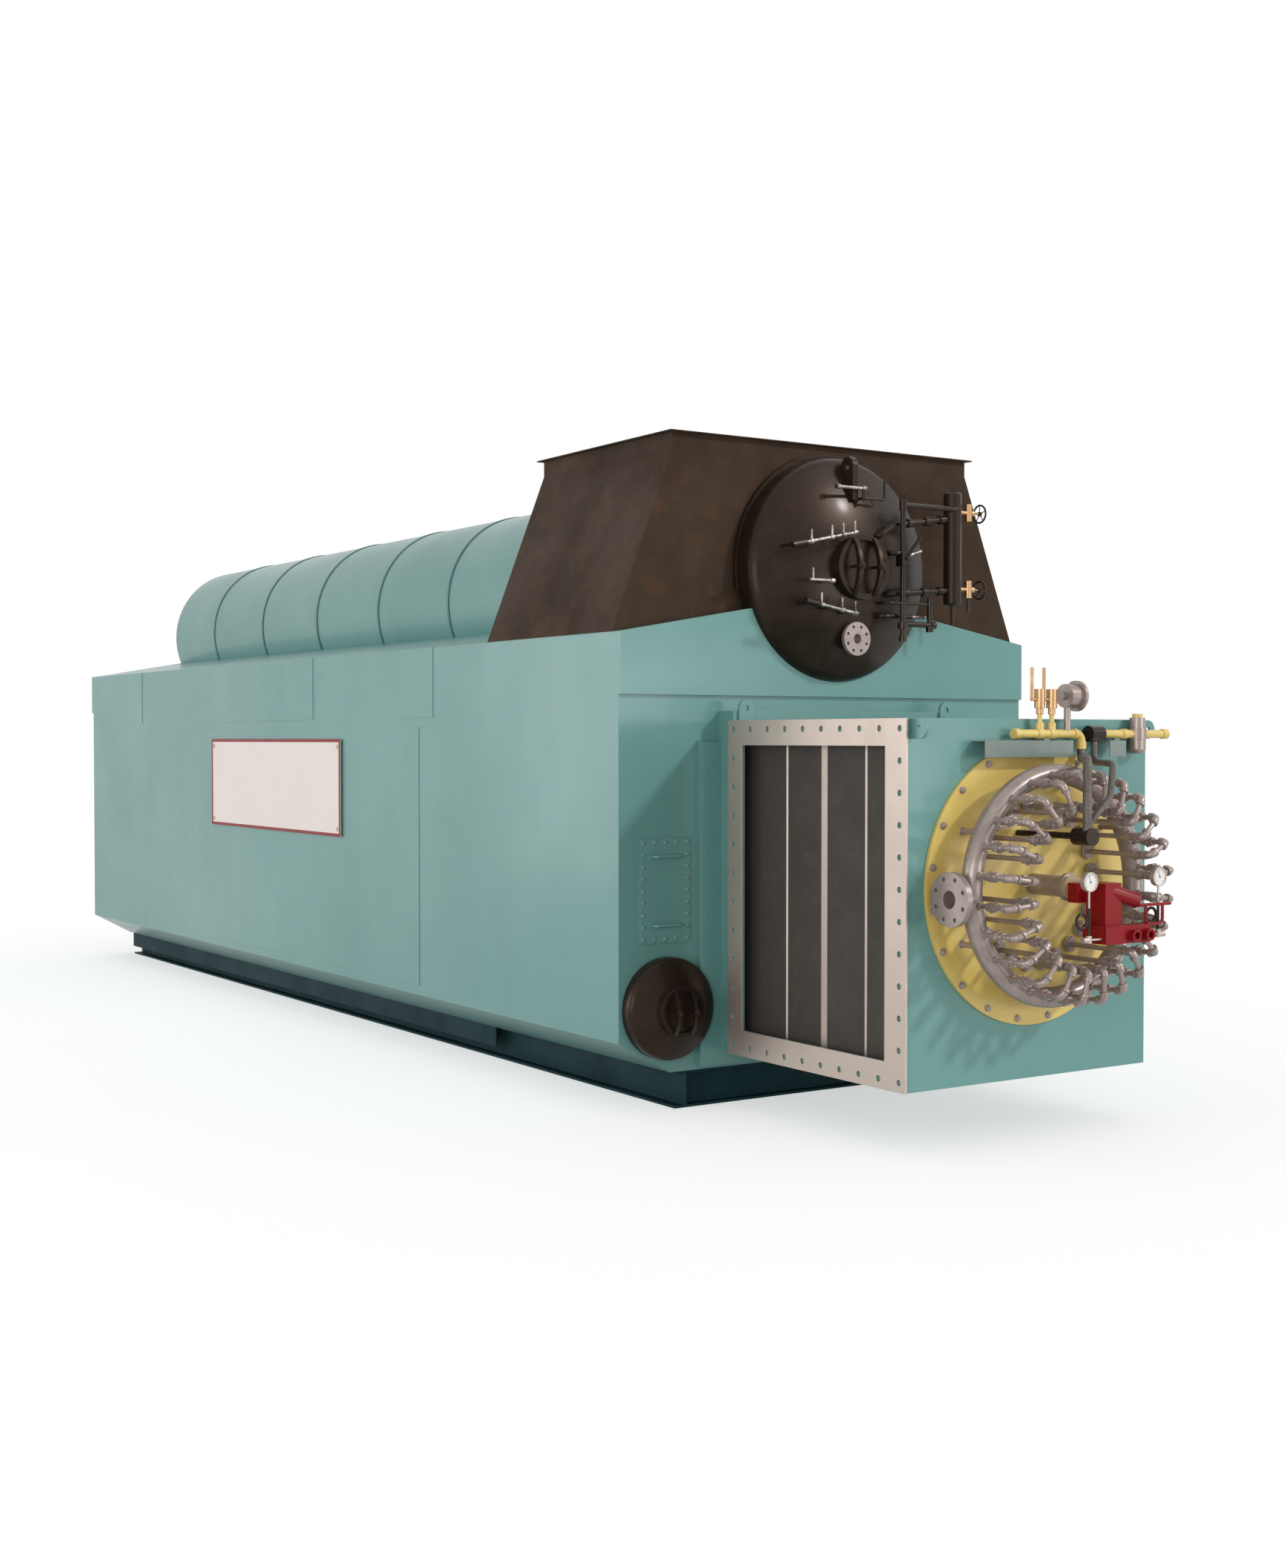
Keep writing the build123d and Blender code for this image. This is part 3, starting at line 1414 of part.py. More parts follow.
def gun_drive():
    """Drive of the gun: cover, main case, base with its arm and ports, dome and handle."""
    drive_top = drive_foot + drive_height
    base_front = drive_front - drive_base_lead
    body = block((drive_left, drive_left + drive_width), (drive_front, drive_rear),
                 (drive_foot, drive_top))
    body += block((drive_cover_left, drive_left + drive_width),
                  (drive_rear, drive_rear + drive_cover_depth),
                  (drive_cover_foot, drive_cover_foot + drive_cover_height))
    body += block((drive_base_left, drive_base_left + drive_base_width),
                  (base_front, base_front + drive_base_depth), (drive_base_foot, drive_foot))
    arm_left = drive_base_left + drive_base_width
    body += block((arm_left, arm_left + drive_arm_width), (base_front, base_front + drive_arm_depth),
                  (drive_base_foot, drive_foot))
    for x in drive_port_places:
        face = (x, base_front - drive_port_length, drive_port_height)
        body += rod((x, base_front, drive_port_height), face, drive_port_radius)
        body -= rod(face, (x, base_front, drive_port_height), drive_port_bore)
    dome_start = (drive_left + drive_width / 2, drive_front + drive_dome_radius,
                  drive_top - drive_dome_radius)
    dome_end = (dome_start[0] + drive_dome_length, dome_start[1] - drive_dome_radius,
                dome_start[2] - drive_dome_drop + drive_dome_radius)
    body += rod(dome_start, dome_end, drive_dome_radius)
    y = drive_front - drive_dome_radius + handle_radius
    body += rod((handle_left, y, handle_height), (handle_right, y, handle_height), handle_radius)
    loop = bent_pipe([(handle_loop_left, y, handle_height),
                      (handle_loop_left, y, handle_height - handle_loop_drop),
                      (handle_loop_right, y, handle_height - handle_loop_drop),
                      (handle_loop_right, y, handle_height)], handle_radius, 3 * handle_radius)
    return body + loop


def gauge_places():
    """Place, depth, height and way to the drive of the two gauges."""
    return ((left_gauge_place, drive_front - left_gauge_lead, left_gauge_height, 1),
            (right_gauge_place, drive_front - right_gauge_lead, right_gauge_height, -1))


def burner_gauges():
    """Dial gauges on their posts, and the cocks and rods that carry them from the drive's base."""
    base_ends = {1: drive_base_left, -1: drive_base_left + drive_base_width + drive_arm_width}
    gauges = []
    for x, y, z, way in gauge_places():
        half = gauge_case_depth / 2
        case = rod((x, y - half, z), (x, y + half, z), gauge_case_radius)
        case -= rod((x, y - half, z), (x, y - half + gauge_rim, z), gauge_case_radius - gauge_rim)
        post = rod((x, y, z - gauge_case_radius + gauge_rim), (x, y, z - gauge_post_drop),
                   gauge_post_radius)
        gauges.append(case + post)
        pipe_end = z - gauge_pipe_drop
        cock = rod((x, y, pipe_end - seam_gap), (x, y, gauge_cock_height - gauge_cock_radius),
                   gauge_cock_radius)
        cock += rod((x - way * gauge_cock_length, y, gauge_cock_height),
                    (x, y, gauge_cock_height), gauge_cock_radius)
        cock += rod((x, y, gauge_cock_height), (base_ends[way] - way * seam_gap, y, gauge_cock_height),
                    gauge_rod_radius)
        gauges.append(cock)
    return gauges


def gauge_siphons():
    """Dark pipes under the gauges, with their round siphons."""
    pieces = []
    for x, y, z, _ in gauge_places():
        pieces.append(rod((x, y, z - gauge_post_drop - seam_gap), (x, y, z - gauge_pipe_drop),
                          gauge_pipe_radius))
        centre = x - siphon_radius - siphon_pipe_radius - gauge_pipe_radius - seam_gap
        tube = Pos(siphon_radius, 0) * Circle(siphon_pipe_radius)
        pieces.append(Pos(centre, y, z - siphon_drop) * revolve(tube, Axis.Y))
    return pieces


# Hoses

def pilot_body():
    """Round body of the pilot inlet, as a tool too."""
    face = burner_face - pilot_lead
    return (pilot_place, face, pilot_height), (pilot_place, face + pilot_length, pilot_height)


def pilot_inlet():
    """Pilot inlet in front of the burner plate, on its pipe."""
    near, far = pilot_body()
    return rod(near, far, pilot_radius) + rod(far, (pilot_place, burner_face, pilot_height),
                                              pilot_pipe_radius)


def hose(start, route, radius):
    """A hose along its route, then straight down on the pilot inlet's body."""
    last = route[-1]
    end = (last[0], last[1], pilot_height)
    return bent_pipe([start, *route, end], radius, hose_bend) - rod(*pilot_body(), pilot_radius + seam_gap)


def burner_hoses():
    gas_start = train_point(train_elbow, -train_elbow_drop - seam_gap)
    air_start = train_point(train_sleeve_left + train_sleeve_length / 2)
    sleeve = train_collar(train_sleeve_left, train_sleeve_length, train_sleeve_radius + seam_gap)
    return [hose(gas_start, gas_hose_route, gas_hose_radius),
            hose(air_start, air_hose_route, air_hose_radius) - sleeve]


os.makedirs("parts", exist_ok=True)

save("skid_beam_left", skid_beam(-1))
save("skid_beam_right", skid_beam(1))
save("skid_cross_beams", *cross_beams())
save("skid_cover_plates", *cover_plates())
side_left, side_right, floor = casing_sides_and_floor()
save("casing_side_left", side_left)
save("casing_side_right", side_right)
save("casing_floor", floor)
save("front_wall", front_wall())
save("rear_wall", end_wall(rear - casing_sheet, rear))
save("front_header", header(front - front_header_lap, front + casing_sheet))
save("rear_header", header(rear - casing_sheet, rear + rear_header_lap,
                           lagging_sheet + lagging_clearance))
save("roof_left", roof(-1))
save("roof_right", roof(1))
left_panels = side_panels()
save("side_panels_left", *left_panels)
save("side_panels_right", *[mirrored(sheet) for sheet in left_panels])
save("sign_plate", sign_plate())
drum_body = steam_drum()
save("steam_drum", drum_body)
save("drum_lagging", drum_lagging())
save("drum_bands", *drum_bands())
save("drum_collar", drum_collar())
save("drum_lugs", lug(drum_front, -1) - drum_body, lug(drum_rear, 1) - drum_body)
rings, covers, yokes = manways()
save("manway_rings", *rings)
save("manway_covers", *covers)
save("manway_yokes", *yokes)
save("feed_flange", feed_flange())
save("water_column", water_column())
save("column_piping", *column_piping())
bright_cocks, cock_pipes = cocks()
save("drum_risers", *drum_risers(), *cock_pipes)
save("test_cocks", *bright_cocks)
save("gauge_valves", *gauge_valves())
save("gauge_trim", *gauge_trim())
save("lower_drum_left", lower_drum(-1))
save("lower_drum_right", lower_drum(1))
save("hopper", hopper())
save("inspection_doors", *inspection_doors())
save("door_handles", *door_handles())
save("burner_frame", burner_frame())
save("windbox", windbox())
save("windbox_inlet_flange", inlet_flange())
save("damper_blades", *damper_blades())
save("damper_bars", *damper_bars())
save("windbox_ears", *windbox_ears())
save("burner_plate", burner_plate())
save("gas_ring", gas_ring())
save("ring_standoffs", *ring_standoffs())
save("gas_pokers", *[poker(angle) for angle in poker_angles()])
save("gas_train_pipe", *train_pipe())
save("gas_train_brackets", *train_brackets())
save("pilot_valves", *pilot_valves())
save("gas_train_fittings", pressure_switch(), gas_strainer())
save("burner_gun", burner_gun())
save("sight_ring", sight_ring())
save("gun_drive", gun_drive())
save("burner_gauges", *burner_gauges())
save("burner_trim", train_sleeve(), pilot_inlet(), *gauge_siphons())
save("burner_hoses", *burner_hoses())
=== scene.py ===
"""Finishes, fastenings and small fittings of a packaged watertube boiler, on its fixed frame."""

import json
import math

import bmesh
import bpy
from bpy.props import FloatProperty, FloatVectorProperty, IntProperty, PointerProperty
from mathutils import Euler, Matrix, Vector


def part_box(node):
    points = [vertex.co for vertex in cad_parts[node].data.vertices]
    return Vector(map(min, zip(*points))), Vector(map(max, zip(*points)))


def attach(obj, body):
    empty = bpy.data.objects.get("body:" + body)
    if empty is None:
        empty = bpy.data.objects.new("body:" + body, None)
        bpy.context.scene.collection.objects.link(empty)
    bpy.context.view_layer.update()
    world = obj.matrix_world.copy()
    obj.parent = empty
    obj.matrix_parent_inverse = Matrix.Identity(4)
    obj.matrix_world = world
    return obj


bl_info = {
    "name": "Package Boiler Finishes",
    "version": (1, 1, 0),
    "blender": (4, 5, 0),
    "location": "3D View > Sidebar > Boiler",
    "description": "Dresses the frame of a packaged watertube boiler and sets it on a studio floor",
    "category": "Object",
}

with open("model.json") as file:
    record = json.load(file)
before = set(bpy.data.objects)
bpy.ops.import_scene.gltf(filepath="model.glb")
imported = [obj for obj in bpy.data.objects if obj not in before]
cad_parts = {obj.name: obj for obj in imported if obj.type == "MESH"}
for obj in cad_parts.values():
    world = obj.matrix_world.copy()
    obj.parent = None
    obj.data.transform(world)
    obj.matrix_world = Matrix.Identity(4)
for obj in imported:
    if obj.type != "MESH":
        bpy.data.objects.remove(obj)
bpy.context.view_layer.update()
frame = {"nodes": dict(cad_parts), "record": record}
nodes = frame["nodes"]

MM = 0.001
BODY = "root"
FORWARD = Euler((math.pi / 2, 0, 0))      # turns +Z to -Y, the burner end
BACKWARD = Euler((-math.pi / 2, 0, 0))
LEFTWARD = Euler((math.pi / 2, 0, -math.pi / 2))      # turns +Z to -X and keeps the pattern upright
BROKEN_EDGE = 0.0012


def linear(hex_colour):
    """An sRGB hex colour as linear RGBA."""
    parts = [int(hex_colour[i:i + 2], 16) / 255 for i in (1, 3, 5)]
    parts = [p / 12.92 if p <= 0.04045 else ((p + 0.055) / 1.055) ** 2.4 for p in parts]
    return (*parts, 1.0)


def add(tree, kind, links=None, **settings):
    """Add a node: its settings first, then its sockets, each from a value or another node's output."""
    node = tree.nodes.new(kind)
    for name, value in settings.items():
        setattr(node, name, value)
    for socket, value in (links or {}).items():
        if isinstance(value, bpy.types.NodeSocket):
            tree.links.new(value, node.inputs[socket])
        else:
            node.inputs[socket].default_value = value
    return node


# Materials


def blend(tree, share, first, second):
    """The colour between two, by a share."""
    return add(tree, "ShaderNodeMix", {0: share, 6: first, 7: second}, data_type="RGBA").outputs[2]


def coated(name, colour, shade, stain, patch, roughness, wave, grain, edge, edge_wear_and_highlight=None, stained=0.2,
           streaked=0.3, coat=0.0, metallic=0.0, specular=0.5, tint="#FFFFFF", relief=None):
    """A surface in two close colours, with stains, run marks, a slow waviness, a grain and pale edges that
    paint both wear and the highlight along them.

    patch, wave, grain and edge are sizes in millimetres: how wide a patch of colour is, how deep the
    surface waves, how wide its grain is and how round its edges are. stained and streaked are shares,
    specular and tint are how strong and how warm its reflections are, and relief adds a pattern's height.
    """
    material = bpy.data.materials.new(name)
    material.use_nodes = True
    tree = material.node_tree
    tree.nodes.clear()
    place = add(tree, "ShaderNodeTexCoord").outputs["Object"]
    broad = add(tree, "ShaderNodeTexNoise", {"Vector": place, "Scale": 1000 / patch, "Detail": 4.0,
                                             "Roughness": 0.6})
    upright = add(tree, "ShaderNodeMapping", {"Vector": place, "Scale": (1.0, 1.0, 0.1)})
    streaks = add(tree, "ShaderNodeTexNoise", {"Vector": upright.outputs[0], "Scale": 5000 / patch,
                                               "Detail": 3.0})
    weighed = add(tree, "ShaderNodeMath", {0: streaks.outputs["Fac"], 1: streaked,
                                           2: broad.outputs["Fac"]}, operation="MULTIPLY_ADD")
    share = add(tree, "ShaderNodeMapRange", {"Value": weighed.outputs[0], "From Min": 0.3 + streaked * 0.4,
                                             "From Max": 0.7 + streaked * 0.6})
    tone = blend(tree, share.outputs[0], linear(colour), linear(shade))
    spots = add(tree, "ShaderNodeTexNoise", {"Vector": place, "Scale": 3700 / patch, "Detail": 6.0,
                                             "Roughness": 0.7})
    stains = add(tree, "ShaderNodeMapRange", {"Value": spots.outputs["Fac"], "From Min": 0.5,
                                              "From Max": 0.72, "To Max": stained})
    tone = blend(tree, stains.outputs[0], tone, linear(stain))
    rounded = add(tree, "ShaderNodeBevel", {"Radius": edge * MM}, samples=4)
    # Pale edges: rubbed paint together with a painted highlight along every edge.
    if edge_wear_and_highlight:
        flat = add(tree, "ShaderNodeNewGeometry")
        turn = add(tree, "ShaderNodeVectorMath", {0: rounded.outputs[0], 1: flat.outputs["Normal"]},
                   operation="DOT_PRODUCT")
        edge_wear_and_highlight_share = add(tree, "ShaderNodeMapRange", {"Value": turn.outputs["Value"], "From Min": 0.99,
                                                  "From Max": 0.85, "To Max": 0.55})
        tone = blend(tree, edge_wear_and_highlight_share.outputs[0], tone, linear(edge_wear_and_highlight))
    gloss = add(tree, "ShaderNodeMapRange", {"Value": broad.outputs["Fac"], "From Min": 0.3,
                                             "From Max": 0.7, "To Min": roughness * 0.85,
                                             "To Max": min(1.0, roughness * 1.18)})
    slow = add(tree, "ShaderNodeTexNoise", {"Vector": place, "Scale": 1300 / patch, "Detail": 1.0})
    waved = add(tree, "ShaderNodeBump", {"Height": slow.outputs["Fac"], "Distance": wave * MM,
                                         "Normal": rounded.outputs[0]})
    fine = add(tree, "ShaderNodeTexNoise", {"Vector": place, "Scale": 1000 / grain, "Detail": 2.0})
    grained = add(tree, "ShaderNodeBump", {"Height": fine.outputs["Fac"], "Distance": grain * MM * 0.06,
                                           "Strength": 0.5, "Normal": waved.outputs[0]})
    if relief:
        height, depth = relief(tree, place)
        grained = add(tree, "ShaderNodeBump", {"Height": height, "Distance": depth * MM,
                                               "Normal": grained.outputs[0]})
    surface = add(tree, "ShaderNodeBsdfPrincipled", {
        "Base Color": tone, "Metallic": metallic, "Roughness": gloss.outputs[0],
        "Normal": grained.outputs[0], "Specular IOR Level": specular, "Specular Tint": linear(tint),
        "Coat Weight": coat, "Coat Roughness": 0.15})
    add(tree, "ShaderNodeOutputMaterial", {"Surface": surface.outputs[0]})
    return material


def teal_enamel():
    """Satin alkyd enamel sprayed on sheet: soft sheen, faint patches, pale along the edges as rubbed paint
    and painted highlight.
    """
    return coated("satin_teal_alkyd_enamel", "#689893", "#5F8F8A", "#57857F", 1400, 0.38, 2.0, 9, 5,
                  edge_wear_and_highlight="#8DB4B0", coat=0.3, specular=0.35)


def hoop_painted_shade_enamel():
    """Satin teal enamel darkened on the lagging's hoops: painted shade for their shaded flanks."""
    return coated("satin_teal_enamel_in_joints", "#3E6F6C", "#35625F", "#2E5552", 600, 0.4, 1.0, 9, 5,
                  edge_wear_and_highlight="#5F908C", coat=0.2)


def shaded_enamel():
    """Dark teal enamel on the rolled skid beams, darkened further as painted shade, with dusty stains."""
    return coated("dark_teal_alkyd_enamel", "#16343A", "#11292D", "#203A3A", 500, 0.55, 1.2, 9, 5,
                  edge_wear_and_highlight="#4C7371", specular=0.1)


def drum_paint():
    """Gloss bitumen paint on dished plate: near black brown, long clear reflections, dry patches."""
    return coated("gloss_brown_bitumen_paint", "#281F19", "#1D1612", "#3C3027", 520, 0.34, 2.4, 12, 6,
                  edge_wear_and_highlight="#4E4035", stained=0.35, coat=0.08, specular=0.3, tint="#D8B89C")


def hopper_primer():
    """Brown iron oxide primer on plate: flat, mottled, with rust bloom coming through."""
    return coated("brown_iron_oxide_primer", "#44372D", "#31271F", "#563A29", 650, 0.6, 2.0, 8, 5,
                  edge_wear_and_highlight="#5C4C40", stained=0.5, streaked=0.15, specular=0.15, tint="#D8B89C")


def damper_paint():
    """Dark heat-resisting paint on the damper blades, flat and sooty."""
    return coated("sooty_heat_resisting_paint", "#45403B", "#413C38", "#5A524B", 420, 0.62, 1.0, 7, 3,
                  edge_wear_and_highlight="#5A534D", stained=0.3, specular=0.2)


def tarnished_cocks():
    """Polished steel cocks gone dark in patches, bright along the edges as handled metal and painted
    highlight.
    """
    return coated("tarnished_cock_steel", "#B9AFA8", "#2E2722", "#57493F", 60, 0.3, 0.4, 4, 2,
                  edge_wear_and_highlight="#E0D7D0", stained=0.5, streaked=0.0, metallic=0.7)


def machined_steel():
    """Turned and ground mild steel with a warm cast and fine grinding lines."""
    return coated("ground_mild_steel", "#B6A99F", "#B4A59B", "#988A7F", 800, 0.4, 0.5, 4, 3,
                  edge_wear_and_highlight="#E6DCD4", streaked=0.6, metallic=0.6)


def drawn_pipe():
    """Drawn pipe with a nickel wash: pinkish grey, satin, browner at the joints."""
    return coated("nickel_washed_pipe_steel", "#A89992", "#8F807A", "#6A5850", 260, 0.32, 0.4, 5, 2,
                  edge_wear_and_highlight="#C9BCB5", stained=0.35, metallic=0.35)


def yellow_enamel():
    """Yellow gas-line enamel, gloss, a little uneven."""
    return coated("gloss_yellow_enamel", "#E4C975", "#D4B75F", "#C2A350", 480, 0.34, 0.8, 7, 3,
                  edge_wear_and_highlight="#E2CC7A", stained=0.3, coat=0.2)


def cast_brass():
    """Cast brass valve bodies: sandy skin, bright along the edges where the spanner holds them and as
    painted highlight.
    """
    return coated("cast_brass", "#C5A078", "#AB845C", "#8E6846", 160, 0.34, 0.3, 4, 2,
                  edge_wear_and_highlight="#DCBE98", stained=0.35, metallic=0.8)


def sign_enamel():
    """White stove enamel on a steel sheet, faintly warm."""
    return coated("white_stove_enamel", "#EDDFD8", "#E7D9D1", "#DDCEC6", 900, 0.32, 0.5, 8, 3,
                  stained=0.15, coat=0.3)


def red_enamel():
    """Red stove enamel on castings and sheet."""
    return coated("red_stove_enamel", "#8E0F16", "#7D0B11", "#68080D", 300, 0.36, 0.3, 6, 2,
                  edge_wear_and_highlight="#B54750", coat=0.05, specular=0.2)


def black_enamel():
    """Black asphalt varnish on threaded pipe: wet looking, brown where it is thin."""
    return coated("black_asphalt_varnish", "#201A16", "#17120F", "#33261F", 200, 0.26, 0.4, 6, 2,
                  edge_wear_and_highlight="#453830", stained=0.3, coat=0.12, specular=0.35, tint="#E0C8B4")


def grey_enamel():
    """Grey green machinery enamel, flat."""
    return coated("grey_green_machinery_enamel", "#7E8B85", "#717E78", "#64716B", 300, 0.5, 0.5, 7, 2,
                  edge_wear_and_highlight="#9DA8A3")


def sight_ring_glass():
    """Thick boiler sight glass, cloudy and straw coloured."""
    return coated("straw_sight_glass", "#B5A076", "#A08C62", "#8C784F", 120, 0.12, 0.2, 8, 2, coat=0.5)


def braid(tree, place):
    """Height of a braid: two sets of ribs across each other, drawn coarse so that they show."""
    ribs = []
    for slant in (0.6, -0.6):
        turned = add(tree, "ShaderNodeMapping", {"Vector": place, "Rotation": (0.0, slant, 0.0)})
        wave = add(tree, "ShaderNodeTexWave", {"Vector": turned.outputs[0], "Scale": 1000 / 60,
                                               "Distortion": 0.0}, bands_direction="Z")
        ribs.append(wave.outputs["Fac"])
    woven = add(tree, "ShaderNodeMath", {0: ribs[0], 1: ribs[1]}, operation="MAXIMUM")
    return woven.outputs[0], 1.5


def braided_rubber():
    """Rubber hose under a steel-thread braid: dull grey black with crossing ribs."""
    return coated("braided_hose_rubber", "#6E6660", "#544D49", "#3A3431", 90, 0.5, 0.3, 5, 2,
                  edge_wear_and_highlight="#827A75", stained=0.4, metallic=0.3, relief=braid)


def dial_enamel():
    """White baked enamel of a gauge dial, under its glass."""
    return coated("white_dial_enamel", "#ECEAE6", "#E4E1DC", "#D9D5CF", 60, 0.25, 0.1, 4, 1, coat=0.6)


FINISHES = {
    "teal_paint": teal_enamel, "dark_teal_steel": shaded_enamel, "drum_steel": drum_paint,
    "hopper_steel": hopper_primer, "nickel_steel": drawn_pipe, "bright_steel": machined_steel,
    "yellow_paint": yellow_enamel, "brass": cast_brass, "sign_enamel": sign_enamel,
    "black_paint": black_enamel, "grey_paint": grey_enamel, "red_paint": red_enamel,
    "sight_glass": sight_ring_glass, "hose_rubber": braided_rubber,
}
NODE_FINISHES = {"drum_bands": hoop_painted_shade_enamel, "damper_blades": damper_paint, "test_cocks": tarnished_cocks}
made = {}


def finish_of(slot):
    """The material of a slot, made once."""
    if slot not in made:
        made[slot] = FINISHES[slot]()
    return made[slot]


# Pieces


def face_middle(node):
    """The middle of the face that a piece of the frame turns to the front."""
    low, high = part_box(node)
    return (low.x + high.x) / 2, low.y, (low.z + high.z) / 2


def keep(name, mesh):
    """Put a finished mesh in the scene as a piece of the boiler."""
    mesh.name = name
    piece = bpy.data.objects.new(name, mesh)
    bpy.context.scene.collection.objects.link(piece)
    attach(piece, BODY)


def group_inputs(name, sockets):
    """A new geometry tree with named inputs and one geometry output."""
    tree = bpy.data.node_groups.new(name, "GeometryNodeTree")
    for label, kind, default in sockets:
        socket = tree.interface.new_socket(label, in_out="INPUT", socket_type=kind)
        if default is not None:
            socket.default_value = default
    tree.interface.new_socket("Geometry", in_out="OUTPUT", socket_type="NodeSocketGeometry")
    return tree, add(tree, "NodeGroupInput").outputs


def evaluate(tree, values):
    """Run a tree with the given inputs and return its result as a plain mesh."""
    holder = bpy.data.objects.new("holder", bpy.data.meshes.new("holder"))
    bpy.context.scene.collection.objects.link(holder)
    modifier = holder.modifiers.new("tree", "NODES")
    modifier.node_group = tree
    by_name = {item.name: item.identifier for item in tree.interface.items_tree
               if item.item_type == "SOCKET" and item.in_out == "INPUT"}
    for label, value in values.items():
        modifier[by_name[label]] = value
    depsgraph = bpy.context.evaluated_depsgraph_get()
    mesh = bpy.data.meshes.new_from_object(holder.evaluated_get(depsgraph))
    bpy.data.objects.remove(holder)
    return mesh


def merged(meshes):
    """Several meshes of one material as one."""
    work = bmesh.new()
    for mesh in meshes:
        work.from_mesh(mesh)
    result = bpy.data.meshes.new("merged")
    for material in meshes[0].materials:
        result.materials.append(material)
    work.to_mesh(result)
    work.free()
    return result


def math_of(tree, operation, first, second):
    """One sum on sockets or numbers."""
    return add(tree, "ShaderNodeMath", {0: first, 1: second}, operation=operation).outputs[0]


def times(tree, first, second):
    return math_of(tree, "MULTIPLY", first, second)


def plus(tree, first, second):
    return math_of(tree, "ADD", first, second)


def minus(tree, first, second):
    return math_of(tree, "SUBTRACT", first, second)


def weighed_sum(tree, first, factor, rest):
    """first times factor, plus rest."""
    return add(tree, "ShaderNodeMath", {0: first, 1: factor, 2: rest},
               operation="MULTIPLY_ADD").outputs[0]


def point(tree, **parts):
    """A vector from its X, Y and Z, those not given being zero."""
    return add(tree, "ShaderNodeCombineXYZ", parts).outputs[0]


def moved(tree, shape, **parts):
    """A shape moved along X, Y or Z."""
    return add(tree, "GeometryNodeTransform", {"Geometry": shape,
                                               "Translation": point(tree, **parts)}).outputs[0]


def standing(tree, sides, radius, low, high):
    """A prism or cylinder along Z between two heights."""
    depth = minus(tree, high, low)
    shape = add(tree, "GeometryNodeMeshCylinder", {"Vertices": sides, "Radius": radius, "Depth": depth})
    return moved(tree, shape.outputs["Mesh"], Z=times(tree, plus(tree, high, low), 0.5))


def joined(tree, shapes):
    """Several shapes as one geometry."""
    node = add(tree, "GeometryNodeJoinGeometry")
    for shape in shapes:
        tree.links.new(shape, node.inputs[0])
    return node.outputs[0]


def round_about(tree, source, shape):
    """Copies of a shape round Z: as many as Count, the first at First Angle."""
    line = add(tree, "GeometryNodeMeshLine", {"Count": source["Count"], "Offset": (0.0, 0.0, 0.0)})
    index = add(tree, "GeometryNodeInputIndex").outputs[0]
    step = math_of(tree, "DIVIDE", math.tau, source["Count"])
    angle = weighed_sum(tree, index, step, source["First Angle"])
    turn = add(tree, "FunctionNodeAxisAngleToRotation", {"Axis": (0.0, 0.0, 1.0), "Angle": angle})
    return add(tree, "GeometryNodeInstanceOnPoints", {"Points": line.outputs[0], "Instance": shape,
                                                      "Rotation": turn.outputs[0]}).outputs[0]


def settle(tree, source, geometry):
    """Realize, place, colour and output the geometry of a tree."""
    real = add(tree, "GeometryNodeRealizeInstances", {"Geometry": geometry})
    put = add(tree, "GeometryNodeTransform", {"Geometry": real.outputs[0], "Translation": source["Place"],
                                              "Rotation": source["Turn"]})
    done = add(tree, "GeometryNodeSetMaterial", {"Geometry": put.outputs[0],
                                                 "Material": source["Material"]})
    add(tree, "NodeGroupOutput", {"Geometry": done.outputs[0]})
    return tree


SETTLED = (("Place", "NodeSocketVector", None), ("Turn", "NodeSocketRotation", None),
           ("Material", "NodeSocketMaterial", None))
ROUND = (("Count", "NodeSocketInt", 8), ("First Angle", "NodeSocketFloat", 0.0))
HEAD = (("Head Radius", "NodeSocketFloat", 0.015), ("Head Height", "NodeSocketFloat", 0.012))


# Washer, hexagon, its chamfer and the end of the stud: the sides of each, then its radius as a share of
# the head's, and its foot and top as shares of the head's height
BOLT_STACK = ((20, 1.25, -0.2, 0.22), (6, 1.0, 0.0, 0.9), (18, 0.84, 0.0, 1.0), (12, 0.5, 0.0, 1.35))


def bolt_head(tree, source):
    """A bolt's head with its washer and stud, standing on Z."""
    radius, height = source["Head Radius"], source["Head Height"]
    return joined(tree, [standing(tree, sides, times(tree, radius, width), times(tree, height, low),
                                  times(tree, height, high))
                         for sides, width, low, high in BOLT_STACK])


def bolt_circle_tree():
    """Bolts evenly round a circle in XY, heads towards +Z."""
    tree, source = group_inputs("bolt_circle", ROUND + (("Circle Radius", "NodeSocketFloat", 0.1),)
                                + HEAD + SETTLED)
    bolt = moved(tree, bolt_head(tree, source), X=source["Circle Radius"])
    return settle(tree, source, round_about(tree, source, bolt))


RIM_NEIGHBOURS = 3      # a point on a grid's rim has no more, one inside has four


def bolt_grid_tree():
    """Bolts along the four sides of a rectangle in XY, corners included, heads towards +Z."""
    tree, source = group_inputs("bolt_grid", (
        ("Width", "NodeSocketFloat", 0.3), ("Height", "NodeSocketFloat", 0.5),
        ("Across", "NodeSocketInt", 5), ("Down", "NodeSocketInt", 9)) + HEAD + SETTLED)
    grid = add(tree, "GeometryNodeMeshGrid", {"Size X": source["Width"], "Size Y": source["Height"],
                                              "Vertices X": source["Across"],
                                              "Vertices Y": source["Down"]})
    neighbours = add(tree, "GeometryNodeInputMeshVertexNeighbors")
    inner = math_of(tree, "GREATER_THAN", neighbours.outputs["Vertex Count"], RIM_NEIGHBOURS + 0.5)
    rim = add(tree, "GeometryNodeDeleteGeometry", {"Geometry": grid.outputs["Mesh"],
                                                   "Selection": inner}, domain="POINT")
    on = add(tree, "GeometryNodeInstanceOnPoints", {"Points": rim.outputs[0],
                                                    "Instance": bolt_head(tree, source)})
    return settle(tree, source, on.outputs[0])


UNION_COLLARS = (1.6, -2.6)      # feet of a union's two collars off its middle, in collar lengths
UNION_COLLAR = 0.95      # their radius, over a collar's
GLAND_NUT = (1.45, 0.35, 0.45)      # radius over a union nut's, foot and length over the gland's height


